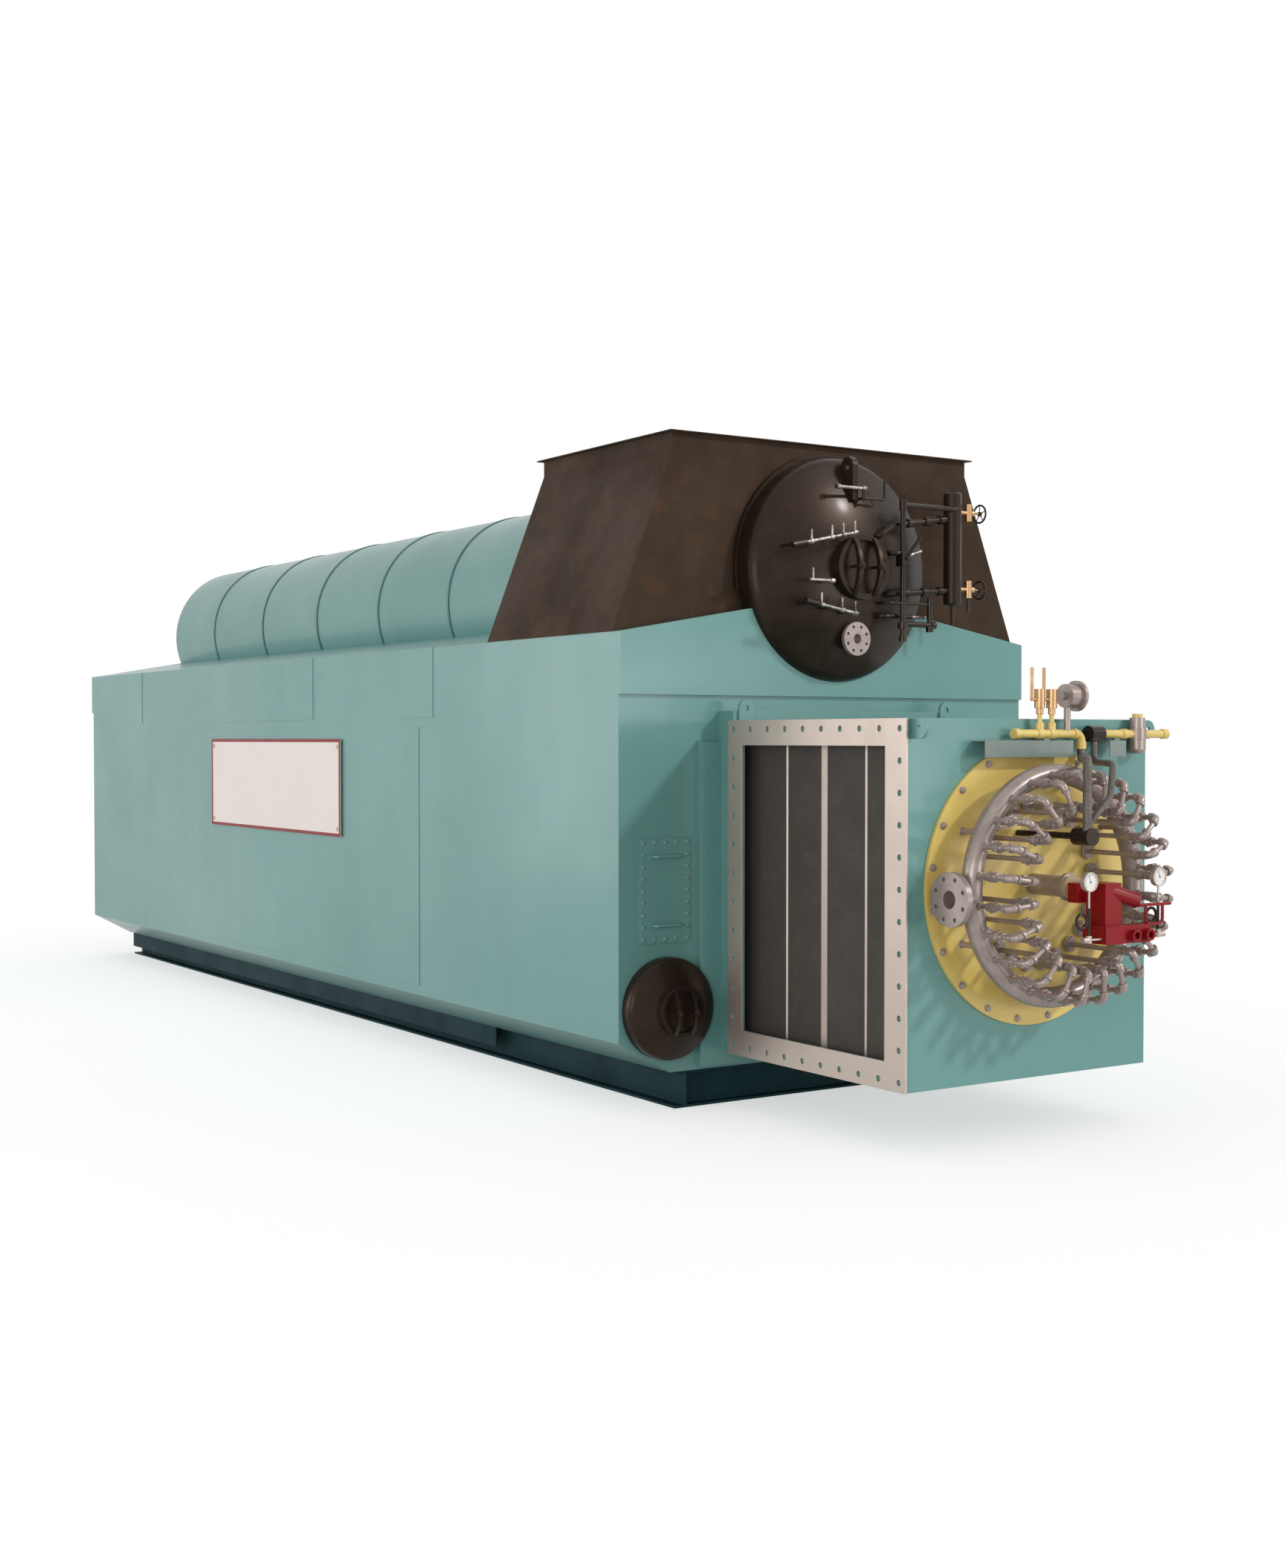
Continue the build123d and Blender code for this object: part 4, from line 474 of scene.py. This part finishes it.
def poker_fittings_tree():
    """Union nuts, collars, fat elbows and gland nuts of the pokers, round their axis.

    Z runs forward from the burner plate. Each poker leaves the ring on the outer circle, crosses to the
    inner circle through two elbows and comes back to its gland.
    """
    tree, source = group_inputs("poker_fittings", ROUND + (
        ("Outer Circle", "NodeSocketFloat", 0.61), ("Inner Circle", "NodeSocketFloat", 0.44),
        ("Outer Elbow", "NodeSocketFloat", 0.455), ("Inner Elbow", "NodeSocketFloat", 0.477),
        ("Bend", "NodeSocketFloat", 0.034), ("Nut Radius", "NodeSocketFloat", 0.029),
        ("Nut Length", "NodeSocketFloat", 0.02), ("Collar Radius", "NodeSocketFloat", 0.0255),
        ("Collar Length", "NodeSocketFloat", 0.014), ("Elbow Radius", "NodeSocketFloat", 0.0185),
        ("Outer Union", "NodeSocketFloat", 0.3235), ("Inner Union", "NodeSocketFloat", 0.377),
        ("Gland", "NodeSocketFloat", 0.03)) + SETTLED)

    def ring_of(sides, width, radial, axial, length):
        """A prism along the pipe that stands at a distance from the axis, from one height up."""
        return moved(tree, standing(tree, sides, width, axial, plus(tree, axial, length)), X=radial)

    def crossing(start, end, lift):
        """A collar on the pipe that crosses between the circles, start and end off the outer elbow."""
        shape = standing(tree, 18, source["Collar Radius"], start, end)
        turned = add(tree, "GeometryNodeTransform", {"Geometry": shape,
                                                     "Rotation": (0.0, -math.pi / 2, 0.0)})
        return moved(tree, turned.outputs[0], X=source["Outer Circle"], Z=lift)

    def elbow(radial, axial, way):
        """A fat bend from the crossing pipe into the pipe along Z."""
        line = add(tree, "GeometryNodeCurveQuadraticBezier", {
            "Resolution": 6,
            "Start": point(tree, X=plus(tree, radial, times(tree, source["Bend"], way)), Z=axial),
            "Middle": point(tree, X=radial, Z=axial),
            "End": point(tree, X=radial, Z=minus(tree, axial, source["Bend"]))})
        ring = add(tree, "GeometryNodeCurvePrimitiveCircle", {"Resolution": 14,
                                                              "Radius": source["Elbow Radius"]})
        return add(tree, "GeometryNodeCurveToMesh", {"Curve": line.outputs[0],
                                                     "Profile Curve": ring.outputs[0],
                                                     "Fill Caps": True}).outputs[0]

    nut, long_nut = source["Nut Radius"], source["Nut Length"]
    collar, long_collar = source["Collar Radius"], source["Collar Length"]
    bend, shapes = source["Bend"], []
    for row in ("Outer", "Inner"):
        circle, middle, elbow_at = source[row + " Circle"], source[row + " Union"], source[row + " Elbow"]
        shapes.append(ring_of(6, nut, circle, minus(tree, middle, times(tree, long_nut, 0.5)), long_nut))
        for offset in UNION_COLLARS:
            shapes.append(ring_of(18, times(tree, collar, UNION_COLLAR), circle,
                                  plus(tree, middle, times(tree, long_collar, offset)), long_collar))
        foot = minus(tree, elbow_at, bend)
        shapes.append(ring_of(18, collar, circle, minus(tree, foot, long_collar), long_collar))
        shapes.append(elbow(circle, elbow_at, -1.0 if row == "Outer" else 1.0))
    across = minus(tree, source["Outer Circle"], source["Inner Circle"])
    last = minus(tree, across, bend)
    lean = math_of(tree, "DIVIDE", minus(tree, source["Inner Elbow"], source["Outer Elbow"]), across)
    low = weighed_sum(tree, bend, lean, source["Outer Elbow"])
    high = weighed_sum(tree, last, lean, source["Outer Elbow"])
    shapes.append(crossing(bend, plus(tree, bend, long_collar), low))
    shapes.append(crossing(minus(tree, last, long_collar), last, high))
    wide, foot, length = GLAND_NUT
    shapes.append(ring_of(6, times(tree, nut, wide), source["Inner Circle"],
                          times(tree, source["Gland"], foot), times(tree, source["Gland"], length)))
    return settle(tree, source, round_about(tree, source, joined(tree, shapes)))


# Length and width of a dial's marks and its needle, over the dial's radius
LONG_MARK, SHORT_MARK, NEEDLE = (0.2, 0.035), (0.11, 0.016), (0.95, 0.06)
MARKS_END, NEEDLE_MIDDLE, HUB = 0.9, 0.3, 0.1      # distances from the middle, the last the hub's rim
SHORT_MARKS = 5      # short divisions to each long one


def dial_tree():
    """Division marks of a dial in XY: long marks, each followed by a few short ones, and a needle."""
    tree, source = group_inputs("dial_marks", (
        ("Divisions", "NodeSocketInt", 10), ("Dial Radius", "NodeSocketFloat", 0.045),
        ("Sweep", "NodeSocketFloat", math.radians(270)), ("Reading", "NodeSocketFloat", 0.3),
        ("Relief", "NodeSocketFloat", 0.0006)) + SETTLED)

    dial, relief, sweep = source["Dial Radius"], source["Relief"], source["Sweep"]

    def bar(long, wide, thick):
        """A thin bar along Y."""
        size = point(tree, X=times(tree, dial, wide), Y=times(tree, dial, long), Z=thick)
        return add(tree, "GeometryNodeMeshCube", {"Size": size}).outputs["Mesh"]

    def marks(count, long, wide):
        """Marks evenly along the sweep, from the lower left round to the lower right."""
        line = add(tree, "GeometryNodeMeshLine", {"Count": plus(tree, count, 1.0),
                                                  "Offset": (0.0, 0.0, 0.0)})
        index = add(tree, "GeometryNodeInputIndex").outputs[0]
        share = math_of(tree, "DIVIDE", index, count)
        swept = times(tree, minus(tree, 0.5, share), sweep)
        turn = add(tree, "FunctionNodeAxisAngleToRotation", {"Axis": (0.0, 0.0, 1.0), "Angle": swept})
        mark = moved(tree, bar(long, wide, relief), Y=times(tree, dial, MARKS_END - long / 2))
        return add(tree, "GeometryNodeInstanceOnPoints", {"Points": line.outputs[0], "Instance": mark,
                                                          "Rotation": turn.outputs[0]}).outputs[0]

    long_marks = marks(source["Divisions"], *LONG_MARK)
    short_marks = marks(times(tree, source["Divisions"], SHORT_MARKS), *SHORT_MARK)
    laid = moved(tree, bar(*NEEDLE, times(tree, relief, 2.0)), Y=times(tree, dial, NEEDLE_MIDDLE))
    angle = times(tree, minus(tree, 0.5, source["Reading"]), sweep)
    needle = add(tree, "GeometryNodeTransform", {"Geometry": laid, "Rotation": point(tree, Z=angle)})
    hub = standing(tree, 16, times(tree, dial, HUB), 0.0, times(tree, relief, 3.0))
    return settle(tree, source, joined(tree, (long_marks, short_marks, needle.outputs[0], hub)))


RIPPLE = 0.16      # how much a weld's bead swells, over its radius
RIPPLE_STEPS = 4      # points along one ripple


def weld_ring_tree():
    """A weld bead round a circle in XY: a thin torus with the ripples of its runs."""
    tree, source = group_inputs("weld_ring", (
        ("Count", "NodeSocketInt", 40), ("Circle Radius", "NodeSocketFloat", 0.1),
        ("Bead Radius", "NodeSocketFloat", 0.006)) + SETTLED)
    steps = times(tree, source["Count"], RIPPLE_STEPS)
    line = add(tree, "GeometryNodeCurvePrimitiveCircle", {"Resolution": steps,
                                                          "Radius": source["Circle Radius"]})
    index = add(tree, "GeometryNodeInputIndex").outputs[0]
    ripple = math_of(tree, "SINE", times(tree, index, math.tau / RIPPLE_STEPS), 0.0)
    swell = weighed_sum(tree, ripple, RIPPLE, 1.0)
    waved = add(tree, "GeometryNodeSetCurveRadius", {"Curve": line.outputs[0],
                                                     "Radius": swell})
    bead = add(tree, "GeometryNodeCurvePrimitiveCircle", {"Resolution": 8,
                                                          "Radius": source["Bead Radius"]})
    tube = add(tree, "GeometryNodeCurveToMesh", {"Curve": waved.outputs[0],
                                                 "Profile Curve": bead.outputs[0],
                                                 "Scale": swell})
    return settle(tree, source, tube.outputs[0])


def blocks(boxes, material):
    """Boxes with softly broken edges, as one mesh: each is its low and high corner."""
    work = bmesh.new()
    for low, high in boxes:
        size = Vector(high) - Vector(low)
        middle = (Vector(high) + Vector(low)) / 2
        bmesh.ops.create_cube(work, size=1.0, matrix=Matrix.Translation(middle) @ Matrix.Diagonal(
            (*size, 1.0)))
    bmesh.ops.bevel(work, geom=work.edges[:], offset=BROKEN_EDGE, segments=2, affect="EDGES")
    mesh = bpy.data.meshes.new("blocks")
    work.to_mesh(mesh)
    work.free()
    mesh.materials.append(material)
    return mesh


# Sizes that a user would change


class BurnerSizes(bpy.types.PropertyGroup):
    plate_bolts: IntProperty(name="Plate bolts", description="Bolts round the burner plate", default=20)
    plate_bolt_inset: FloatProperty(name="Bolt inset", description="Bolt circle inside the plate's rim",
                                    default=0.035, unit="LENGTH")
    bolt_radius: FloatProperty(name="Bolt head", description="Radius over a bolt head's corners",
                               default=0.017, unit="LENGTH")
    bolt_height: FloatProperty(name="Head height", description="Height of a bolt head",
                               default=0.013, unit="LENGTH")
    pokers: IntProperty(name="Pokers", description="Gas pokers round the ring", default=24)
    nut_radius: FloatProperty(name="Union nut", description="Radius over a union nut's corners",
                              default=0.033, unit="LENGTH")
    elbow_radius: FloatProperty(name="Elbow", description="Radius of an elbow's body",
                                default=0.0215, unit="LENGTH")
    standoffs: IntProperty(name="Standoffs", description="Standoffs that carry the gas ring", default=6)
    standoff_circle: FloatProperty(name="Standoff circle", description="Radius of the standoffs' circle",
                                   default=0.61, unit="LENGTH")
    weld_radius: FloatProperty(name="Weld", description="Radius of the weld round a standoff's foot",
                               default=0.018, unit="LENGTH")
    bead_radius: FloatProperty(name="Bead", description="Radius of the weld's bead", default=0.005,
                               unit="LENGTH")
    ripples: IntProperty(name="Ripples", description="Ripples round a weld", default=12)


class DoorSizes(bpy.types.PropertyGroup):
    width: FloatProperty(name="Width", description="Width of an inspection door", default=0.36,
                         unit="LENGTH")
    across: IntProperty(name="Across", description="Bolts along a door's top", default=5)
    down: IntProperty(name="Down", description="Bolts down a door's side", default=9)
    inset: FloatProperty(name="Inset", description="Bolt row inside the door's edge",
                         default=0.024, unit="LENGTH")
    bolt_radius: FloatProperty(name="Bolt head", description="Radius over a bolt head's corners",
                               default=0.0115, unit="LENGTH")
    bolt_height: FloatProperty(name="Head height", description="Height of a bolt head", default=0.008,
                               unit="LENGTH")


class SkidSizes(bpy.types.PropertyGroup):
    cross_beams: IntProperty(name="Cross beams", description="Cross beams along the skid", default=6)
    flange_width: FloatProperty(name="Flange", description="Width of a cross beam's flange",
                                default=0.15, unit="LENGTH")
    web: FloatProperty(name="Web", description="Thickness of a beam's web", default=0.01, unit="LENGTH")


class ManwaySizes(bpy.types.PropertyGroup):
    drum_studs: FloatProperty(name="Drum studs", description="From a drum's stud to its manway's middle",
                              default=0.08, unit="LENGTH")
    lower_studs: FloatProperty(name="Lower studs", description="The same on a lower drum", default=0.06,
                               unit="LENGTH")
    reach: FloatProperty(name="Reach", description="How far off its middle a manway's yokes may lie",
                         default=0.3, unit="LENGTH")
    nut_share: FloatProperty(name="Nut", description="Nut radius over its distance from the middle",
                             default=0.26)
    nut_height: FloatProperty(name="Nut height", description="Height of a yoke nut", default=0.014,
                              unit="LENGTH")


class DialSizes(bpy.types.PropertyGroup):
    radius: FloatProperty(name="Dial", description="Radius of a gauge's dial", default=0.0465,
                          unit="LENGTH")
    divisions: IntProperty(name="Divisions", description="Long marks on a dial", default=10)
    reading: FloatProperty(name="Reading", description="Where the needles stand", default=0.42,
                           subtype="FACTOR")
    thickness: FloatProperty(name="Thickness", description="Thickness of a dial", default=0.001,
                             unit="LENGTH")


class SignSizes(bpy.types.PropertyGroup):
    side_border: FloatProperty(name="Side border", description="Width of the upright borders",
                               default=0.028, unit="LENGTH")
    border: FloatProperty(name="Border", description="Width of the level borders", default=0.024,
                          unit="LENGTH")
    relief: FloatProperty(name="Relief", description="How far the border stands off the sign",
                          default=0.002, unit="LENGTH")
    screw_radius: FloatProperty(name="Screw", description="Radius over a corner screw's corners",
                                default=0.015, unit="LENGTH")
    screw_height: FloatProperty(name="Screw height", description="Height of a corner screw's head",
                                default=0.006, unit="LENGTH")


class StageSizes(bpy.types.PropertyGroup):
    floor_half: FloatProperty(name="Floor", description="Half the floor's side", default=60.0,
                              unit="LENGTH")
    camera_place: FloatVectorProperty(name="Camera", description="Where the camera stands",
                                      default=(-7.607, -9.547, 2.2095), subtype="TRANSLATION")
    camera_turn: FloatVectorProperty(name="Camera turn", description="The camera's rotation",
                                     default=(math.radians(90 - 1.336), 0.0, math.radians(-33.116)),
                                     subtype="EULER")
    camera_lens: FloatProperty(name="Lens", description="Focal length", default=44.06, unit="CAMERA")
    key_strength: FloatProperty(name="Key", description="Strength of the key light", default=1.25)
    front_power: FloatProperty(name="Front panel", description="Power of the soft light in front",
                               default=330.0, unit="POWER")
    corner_power: FloatProperty(name="Corner panel", description="Power of the soft light off the corner",
                                default=580.0, unit="POWER")
    side_power: FloatProperty(name="Side panel", description="Power of the soft light along the side",
                              default=700.0, unit="POWER")
    sky_strength: FloatProperty(name="Sky", description="Strength of the soft light all round",
                                default=0.5)


class BOILER_OT_finishes(bpy.types.Operator):
    """Paint every piece of the frame with the finish of its slot"""
    bl_idname = "boiler.finishes"
    bl_label = "Paint the Frame"

    def execute(self, context):
        for entry in frame["record"]["subparts"]:
            piece = nodes[entry["node"]]
            own = NODE_FINISHES.get(entry["node"])
            piece.data.materials.clear()
            piece.data.materials.append(own() if own else finish_of(entry["material_slot"]))
        return {"FINISHED"}


class BOILER_OT_burner_bolts(bpy.types.Operator):
    """Bolt the burner plate to the windbox"""
    bl_idname = "boiler.burner_bolts"
    bl_label = "Burner Plate Bolts"

    def execute(self, context):
        sizes = context.scene.burner_sizes
        low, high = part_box("burner_plate")
        mesh = evaluate(bolt_circle_tree(), {
            "Count": sizes.plate_bolts, "Circle Radius": (high.x - low.x) / 2 - sizes.plate_bolt_inset,
            "First Angle": math.pi / sizes.plate_bolts, "Head Radius": sizes.bolt_radius,
            "Head Height": sizes.bolt_height, "Place": face_middle("burner_plate"), "Turn": FORWARD,
            "Material": finish_of("nickel_steel")})
        keep("burner_plate_bolts", mesh)
        return {"FINISHED"}


class BOILER_OT_poker_fittings(bpy.types.Operator):
    """Put the unions, elbows and gland nuts on the gas pokers"""
    bl_idname = "boiler.poker_fittings"
    bl_label = "Poker Fittings"

    def execute(self, context):
        sizes = context.scene.burner_sizes
        mesh = evaluate(poker_fittings_tree(), {
            "Count": sizes.pokers, "First Angle": math.pi / sizes.pokers, "Nut Radius": sizes.nut_radius,
            "Elbow Radius": sizes.elbow_radius, "Place": face_middle("burner_plate"), "Turn": FORWARD,
            "Material": finish_of("nickel_steel")})
        keep("poker_fittings", mesh)
        return {"FINISHED"}


class BOILER_OT_door_bolts(bpy.types.Operator):
    """Bolt the two inspection doors to the front wall"""
    bl_idname = "boiler.door_bolts"
    bl_label = "Inspection Door Bolts"

    def execute(self, context):
        sizes = context.scene.door_sizes
        low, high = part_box("inspection_doors")
        tree = bolt_grid_tree()
        rows = [evaluate(tree, {
            "Width": sizes.width - 2 * sizes.inset, "Height": high.z - low.z - 2 * sizes.inset,
            "Across": sizes.across, "Down": sizes.down, "Head Radius": sizes.bolt_radius,
            "Head Height": sizes.bolt_height,
            "Place": (side * (high.x - sizes.width / 2), low.y, (low.z + high.z) / 2),
            "Turn": FORWARD, "Material": finish_of("teal_paint")}) for side in (-1, 1)]
        keep("inspection_door_bolts", merged(rows))
        return {"FINISHED"}


class BOILER_OT_manway_nuts(bpy.types.Operator):
    """Nut the yokes of the six manways down on their studs"""
    bl_idname = "boiler.manway_nuts"
    bl_label = "Manway Nuts"

    def execute(self, context):
        sizes = context.scene.manway_sizes
        corners = [vertex.co for vertex in nodes["manway_yokes"].data.vertices]
        tree = bolt_circle_tree()
        pairs = []
        for node, spread in (("steam_drum", sizes.drum_studs), ("lower_drum_left", sizes.lower_studs),
                             ("lower_drum_right", sizes.lower_studs)):
            x, _, z = face_middle(node)
            near = [corner.y for corner in corners
                    if max(abs(corner.x - x), abs(corner.z - z)) < sizes.reach]
            for y, turn in ((min(near), FORWARD), (max(near), BACKWARD)):
                pairs.append(evaluate(tree, {
                    "Count": 2, "Circle Radius": spread, "Head Radius": spread * sizes.nut_share,
                    "Head Height": sizes.nut_height, "Place": (x, y, z), "Turn": turn,
                    "Material": finish_of("drum_steel")}))
        keep("manway_nuts", merged(pairs))
        return {"FINISHED"}


class BOILER_OT_skid_joints(bpy.types.Operator):
    """Run the webs of the cross beams on to the webs of the long beams"""
    bl_idname = "boiler.skid_joints"
    bl_label = "Skid Joints"

    def execute(self, context):
        sizes = context.scene.skid_sizes
        low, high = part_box("skid_cross_beams")
        side_low, side_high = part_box("skid_beam_right")
        web = (side_low.x + side_high.x) / 2
        first, last = low.y + sizes.flange_width / 2, high.y - sizes.flange_width / 2
        joints = []
        for index in range(sizes.cross_beams):
            y = first + (last - first) * index / (sizes.cross_beams - 1)
            for side in (-1, 1):
                ends = sorted((side * high.x, side * web))
                joints.append(((ends[0], y - sizes.web / 2, low.z + sizes.web),
                               (ends[1], y + sizes.web / 2, high.z - sizes.web)))
        keep("skid_web_joints", blocks(joints, finish_of("dark_teal_steel")))
        return {"FINISHED"}


GAUGES = ((-0.117, -2.382, 1.457), (0.438, -2.357, 1.463))      # floors of the gauges' cases


class BOILER_OT_gauge_dials(bpy.types.Operator):
    """Lay a marked dial and its needle in each gauge"""
    bl_idname = "boiler.gauge_dials"
    bl_label = "Gauge Dials"

    def execute(self, context):
        sizes = context.scene.dial_sizes
        tree = dial_tree()
        faces, marks = [], []
        for place in GAUGES:
            face = bpy.data.meshes.new("dial")
            work = bmesh.new()
            bmesh.ops.create_cone(work, cap_ends=True, segments=48, radius1=sizes.radius,
                                  radius2=sizes.radius, depth=sizes.thickness,
                                  matrix=Matrix.Translation(place) @ FORWARD.to_matrix().to_4x4())
            work.to_mesh(face)
            work.free()
            face.materials.append(dial_paint())
            faces.append(face)
            front = (place[0], place[1] - sizes.thickness / 2, place[2])
            marks.append(evaluate(tree, {
                "Divisions": sizes.divisions, "Dial Radius": sizes.radius, "Reading": sizes.reading,
                "Place": front, "Turn": FORWARD, "Material": finish_of("black_paint")}))
        keep("gauge_dials", merged(faces))
        keep("gauge_marks", merged(marks))
        return {"FINISHED"}


class BOILER_OT_sign_border(bpy.types.Operator):
    """Edge the bare sign in red and screw down its corners"""
    bl_idname = "boiler.sign_border"
    bl_label = "Sign Border"

    def execute(self, context):
        sizes = context.scene.sign_sizes
        low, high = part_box("sign_plate")
        x = (low.x - sizes.relief, low.x + sizes.relief / 2)
        side, level = sizes.side_border, sizes.border
        strips = [((x[0], low.y, z), (x[1], high.y, z + level)) for z in (low.z, high.z - level)]
        strips += [((x[0], y, low.z + level), (x[1], y + side, high.z - level))
                   for y in (low.y, high.y - side)]
        keep("sign_border", blocks(strips, finish_of("red_paint")))
        inset = 2 * (side + 2 * sizes.screw_radius)
        screws = evaluate(bolt_grid_tree(), {
            "Width": high.y - low.y - inset, "Height": high.z - low.z - inset, "Across": 2, "Down": 2,
            "Head Radius": sizes.screw_radius, "Head Height": sizes.screw_height,
            "Place": (low.x, (low.y + high.y) / 2, (low.z + high.z) / 2), "Turn": LEFTWARD,
            "Material": finish_of("bright_steel")})
        keep("sign_screws", screws)
        return {"FINISHED"}


class BOILER_OT_weld_beads(bpy.types.Operator):
    """Run a weld bead round each standoff of the gas ring"""
    bl_idname = "boiler.weld_beads"
    bl_label = "Weld Beads"

    def execute(self, context):
        sizes = context.scene.burner_sizes
        tree = weld_ring_tree()
        centre = Vector(face_middle("burner_plate"))
        beads = []
        for index in range(sizes.standoffs):
            angle = math.tau * (index + 0.5) / sizes.standoffs
            place = centre + sizes.standoff_circle * Vector((math.cos(angle), 0, math.sin(angle)))
            beads.append(evaluate(tree, {
                "Count": sizes.ripples, "Circle Radius": sizes.weld_radius,
                "Bead Radius": sizes.bead_radius, "Place": place, "Turn": FORWARD,
                "Material": finish_of("nickel_steel")}))
        keep("strut_welds", merged(beads))
        return {"FINISHED"}


KEY_PLACE, KEY_SPREAD = (8.0, -10.0, 8.0), math.radians(5)
# The soft lights: where each stands, what it faces, its width and its height
PANELS = (("front", (6.0, -14.0, 2.0), (0.0, -1.8, 1.4), 6.0, 3.0),
          ("corner", (-12.0, -9.0, 2.5), (-1.0, -1.0, 1.2), 8.0, 5.0),
          ("side", (-14.0, 8.0, 3.2), (-1.6, 1.0, 1.1), 18.0, 6.0))
CLIP_END = 200
FLOOR_TONES, FLOOR_GLOW = (0.86, 0.88), 0.58


class BOILER_OT_stage(bpy.types.Operator):
    """Lay a pale floor, light it softly and set the camera"""
    bl_idname = "boiler.stage"
    bl_label = "Stage"

    def execute(self, context):
        sizes = context.scene.stage_sizes
        scene = context.scene
        half = sizes.floor_half
        mesh = bpy.data.meshes.new("floor")
        mesh.from_pydata([(-half, -half, 0), (half, -half, 0), (half, half, 0), (-half, half, 0)], [],
                         [(0, 1, 2, 3)])
        floor = bpy.data.objects.new("floor", mesh)
        floor.location.z = -MM
        scene.collection.objects.link(floor)
        mesh.materials.append(pale_floor())
        scene.world = soft_sky(sizes.sky_strength)
        apart = bpy.data.collections.new("off_the_lamps")
        apart.objects.link(floor)
        apart.collection_objects[0].light_linking.link_state = "EXCLUDE"
        key = lamp("key", "SUN", sizes.key_strength, KEY_PLACE, (0.0, 0.0, 0.0), apart)
        key.angle = KEY_SPREAD
        for name, place, aim, width, height in PANELS:
            panel = lamp(name + "_panel", "AREA", getattr(sizes, name + "_power"), place, aim, apart)
            panel.shape, panel.size, panel.size_y = "RECTANGLE", width, height
        camera_data = bpy.data.cameras.new("camera")
        camera_data.lens = sizes.camera_lens
        camera_data.clip_end = CLIP_END
        camera = bpy.data.objects.new("camera", camera_data)
        camera.location = sizes.camera_place
        camera.rotation_euler = sizes.camera_turn
        scene.collection.objects.link(camera)
        scene.camera = camera
        scene.view_settings.view_transform = "Standard"
        return {"FINISHED"}


def lamp(name, kind, strength, place, aim, apart):
    """A lamp that shines from a place towards an aim, on all but the collection set apart."""
    data = bpy.data.lights.new(name, kind)
    data.energy = strength
    holder = bpy.data.objects.new(name, data)
    holder.location = place
    holder.rotation_euler = (Vector(place) - Vector(aim)).to_track_quat("Z", "Y").to_euler()
    bpy.context.scene.collection.objects.link(holder)
    holder.light_linking.receiver_collection = apart
    return data


def pale_floor():
    """Painted studio floor: white to the camera, and it takes the boiler's soft shadow."""
    material = bpy.data.materials.new("matt_white_studio_floor")
    material.use_nodes = True
    tree = material.node_tree
    tree.nodes.clear()
    place = add(tree, "ShaderNodeTexCoord").outputs["Object"]
    cloud = add(tree, "ShaderNodeTexNoise", {"Vector": place, "Scale": 0.5, "Detail": 3.0})
    tone = add(tree, "ShaderNodeMapRange", {"Value": cloud.outputs["Fac"], "To Min": FLOOR_TONES[0],
                                            "To Max": FLOOR_TONES[1]})
    matt = add(tree, "ShaderNodeBsdfDiffuse", {"Color": tone.outputs[0]})
    path = add(tree, "ShaderNodeLightPath")
    seen = math_of(tree, "MAXIMUM", path.outputs["Is Camera Ray"], path.outputs["Is Glossy Ray"])
    glow = add(tree, "ShaderNodeEmission", {"Strength": times(tree, seen, FLOOR_GLOW)})
    both = add(tree, "ShaderNodeAddShader", {0: matt.outputs[0], 1: glow.outputs[0]})
    add(tree, "ShaderNodeOutputMaterial", {"Surface": both.outputs[0]})
    return material


def soft_sky(strength):
    """White surroundings to the camera and in reflections, and a softer light on the boiler."""
    world = bpy.data.worlds.new("soft_white_studio")
    world.use_nodes = True
    tree = world.node_tree
    tree.nodes.clear()
    path = add(tree, "ShaderNodeLightPath")
    seen = path.outputs["Is Camera Ray"]
    for ray in ("Is Glossy Ray", "Is Transmission Ray"):
        seen = math_of(tree, "MAXIMUM", seen, path.outputs[ray])
    level = add(tree, "ShaderNodeMapRange", {"Value": seen, "To Min": strength, "To Max": 1.0})
    glow = add(tree, "ShaderNodeBackground", {"Color": (1, 1, 1, 1), "Strength": level.outputs[0]})
    add(tree, "ShaderNodeOutputWorld", {"Surface": glow.outputs[0]})
    return world


def dial_paint():
    """The dials' own enamel, made once."""
    if "dial" not in made:
        made["dial"] = dial_enamel()
    return made["dial"]


class BOILER_PT_panel(bpy.types.Panel):
    """Lists the steps that dress the boiler"""
    bl_label = "Package Boiler"
    bl_idname = "BOILER_PT_panel"
    bl_space_type = "VIEW_3D"
    bl_region_type = "UI"
    bl_category = "Boiler"

    def draw(self, context):
        for step in STEPS:
            self.layout.operator(step.bl_idname)
        for group in GROUPS:
            sizes = getattr(context.scene, group)
            for name in sizes.__annotations__:
                self.layout.prop(sizes, name)


STEPS = (BOILER_OT_finishes, BOILER_OT_burner_bolts, BOILER_OT_poker_fittings, BOILER_OT_door_bolts,
         BOILER_OT_manway_nuts, BOILER_OT_skid_joints, BOILER_OT_gauge_dials, BOILER_OT_sign_border,
         BOILER_OT_weld_beads, BOILER_OT_stage)
GROUPS = {"burner_sizes": BurnerSizes, "door_sizes": DoorSizes, "skid_sizes": SkidSizes,
          "manway_sizes": ManwaySizes, "dial_sizes": DialSizes, "sign_sizes": SignSizes,
          "stage_sizes": StageSizes}


def register():
    for kind in (*GROUPS.values(), *STEPS, BOILER_PT_panel):
        bpy.utils.register_class(kind)
    for name, kind in GROUPS.items():
        setattr(bpy.types.Scene, name, PointerProperty(type=kind))


def unregister():
    for name in GROUPS:
        delattr(bpy.types.Scene, name)
    for kind in reversed((*GROUPS.values(), *STEPS, BOILER_PT_panel)):
        bpy.utils.unregister_class(kind)


def main():
    register()
    for step in STEPS:
        group, name = step.bl_idname.split(".")
        getattr(getattr(bpy.ops, group), name)()


if __name__ == "__main__":
    main()
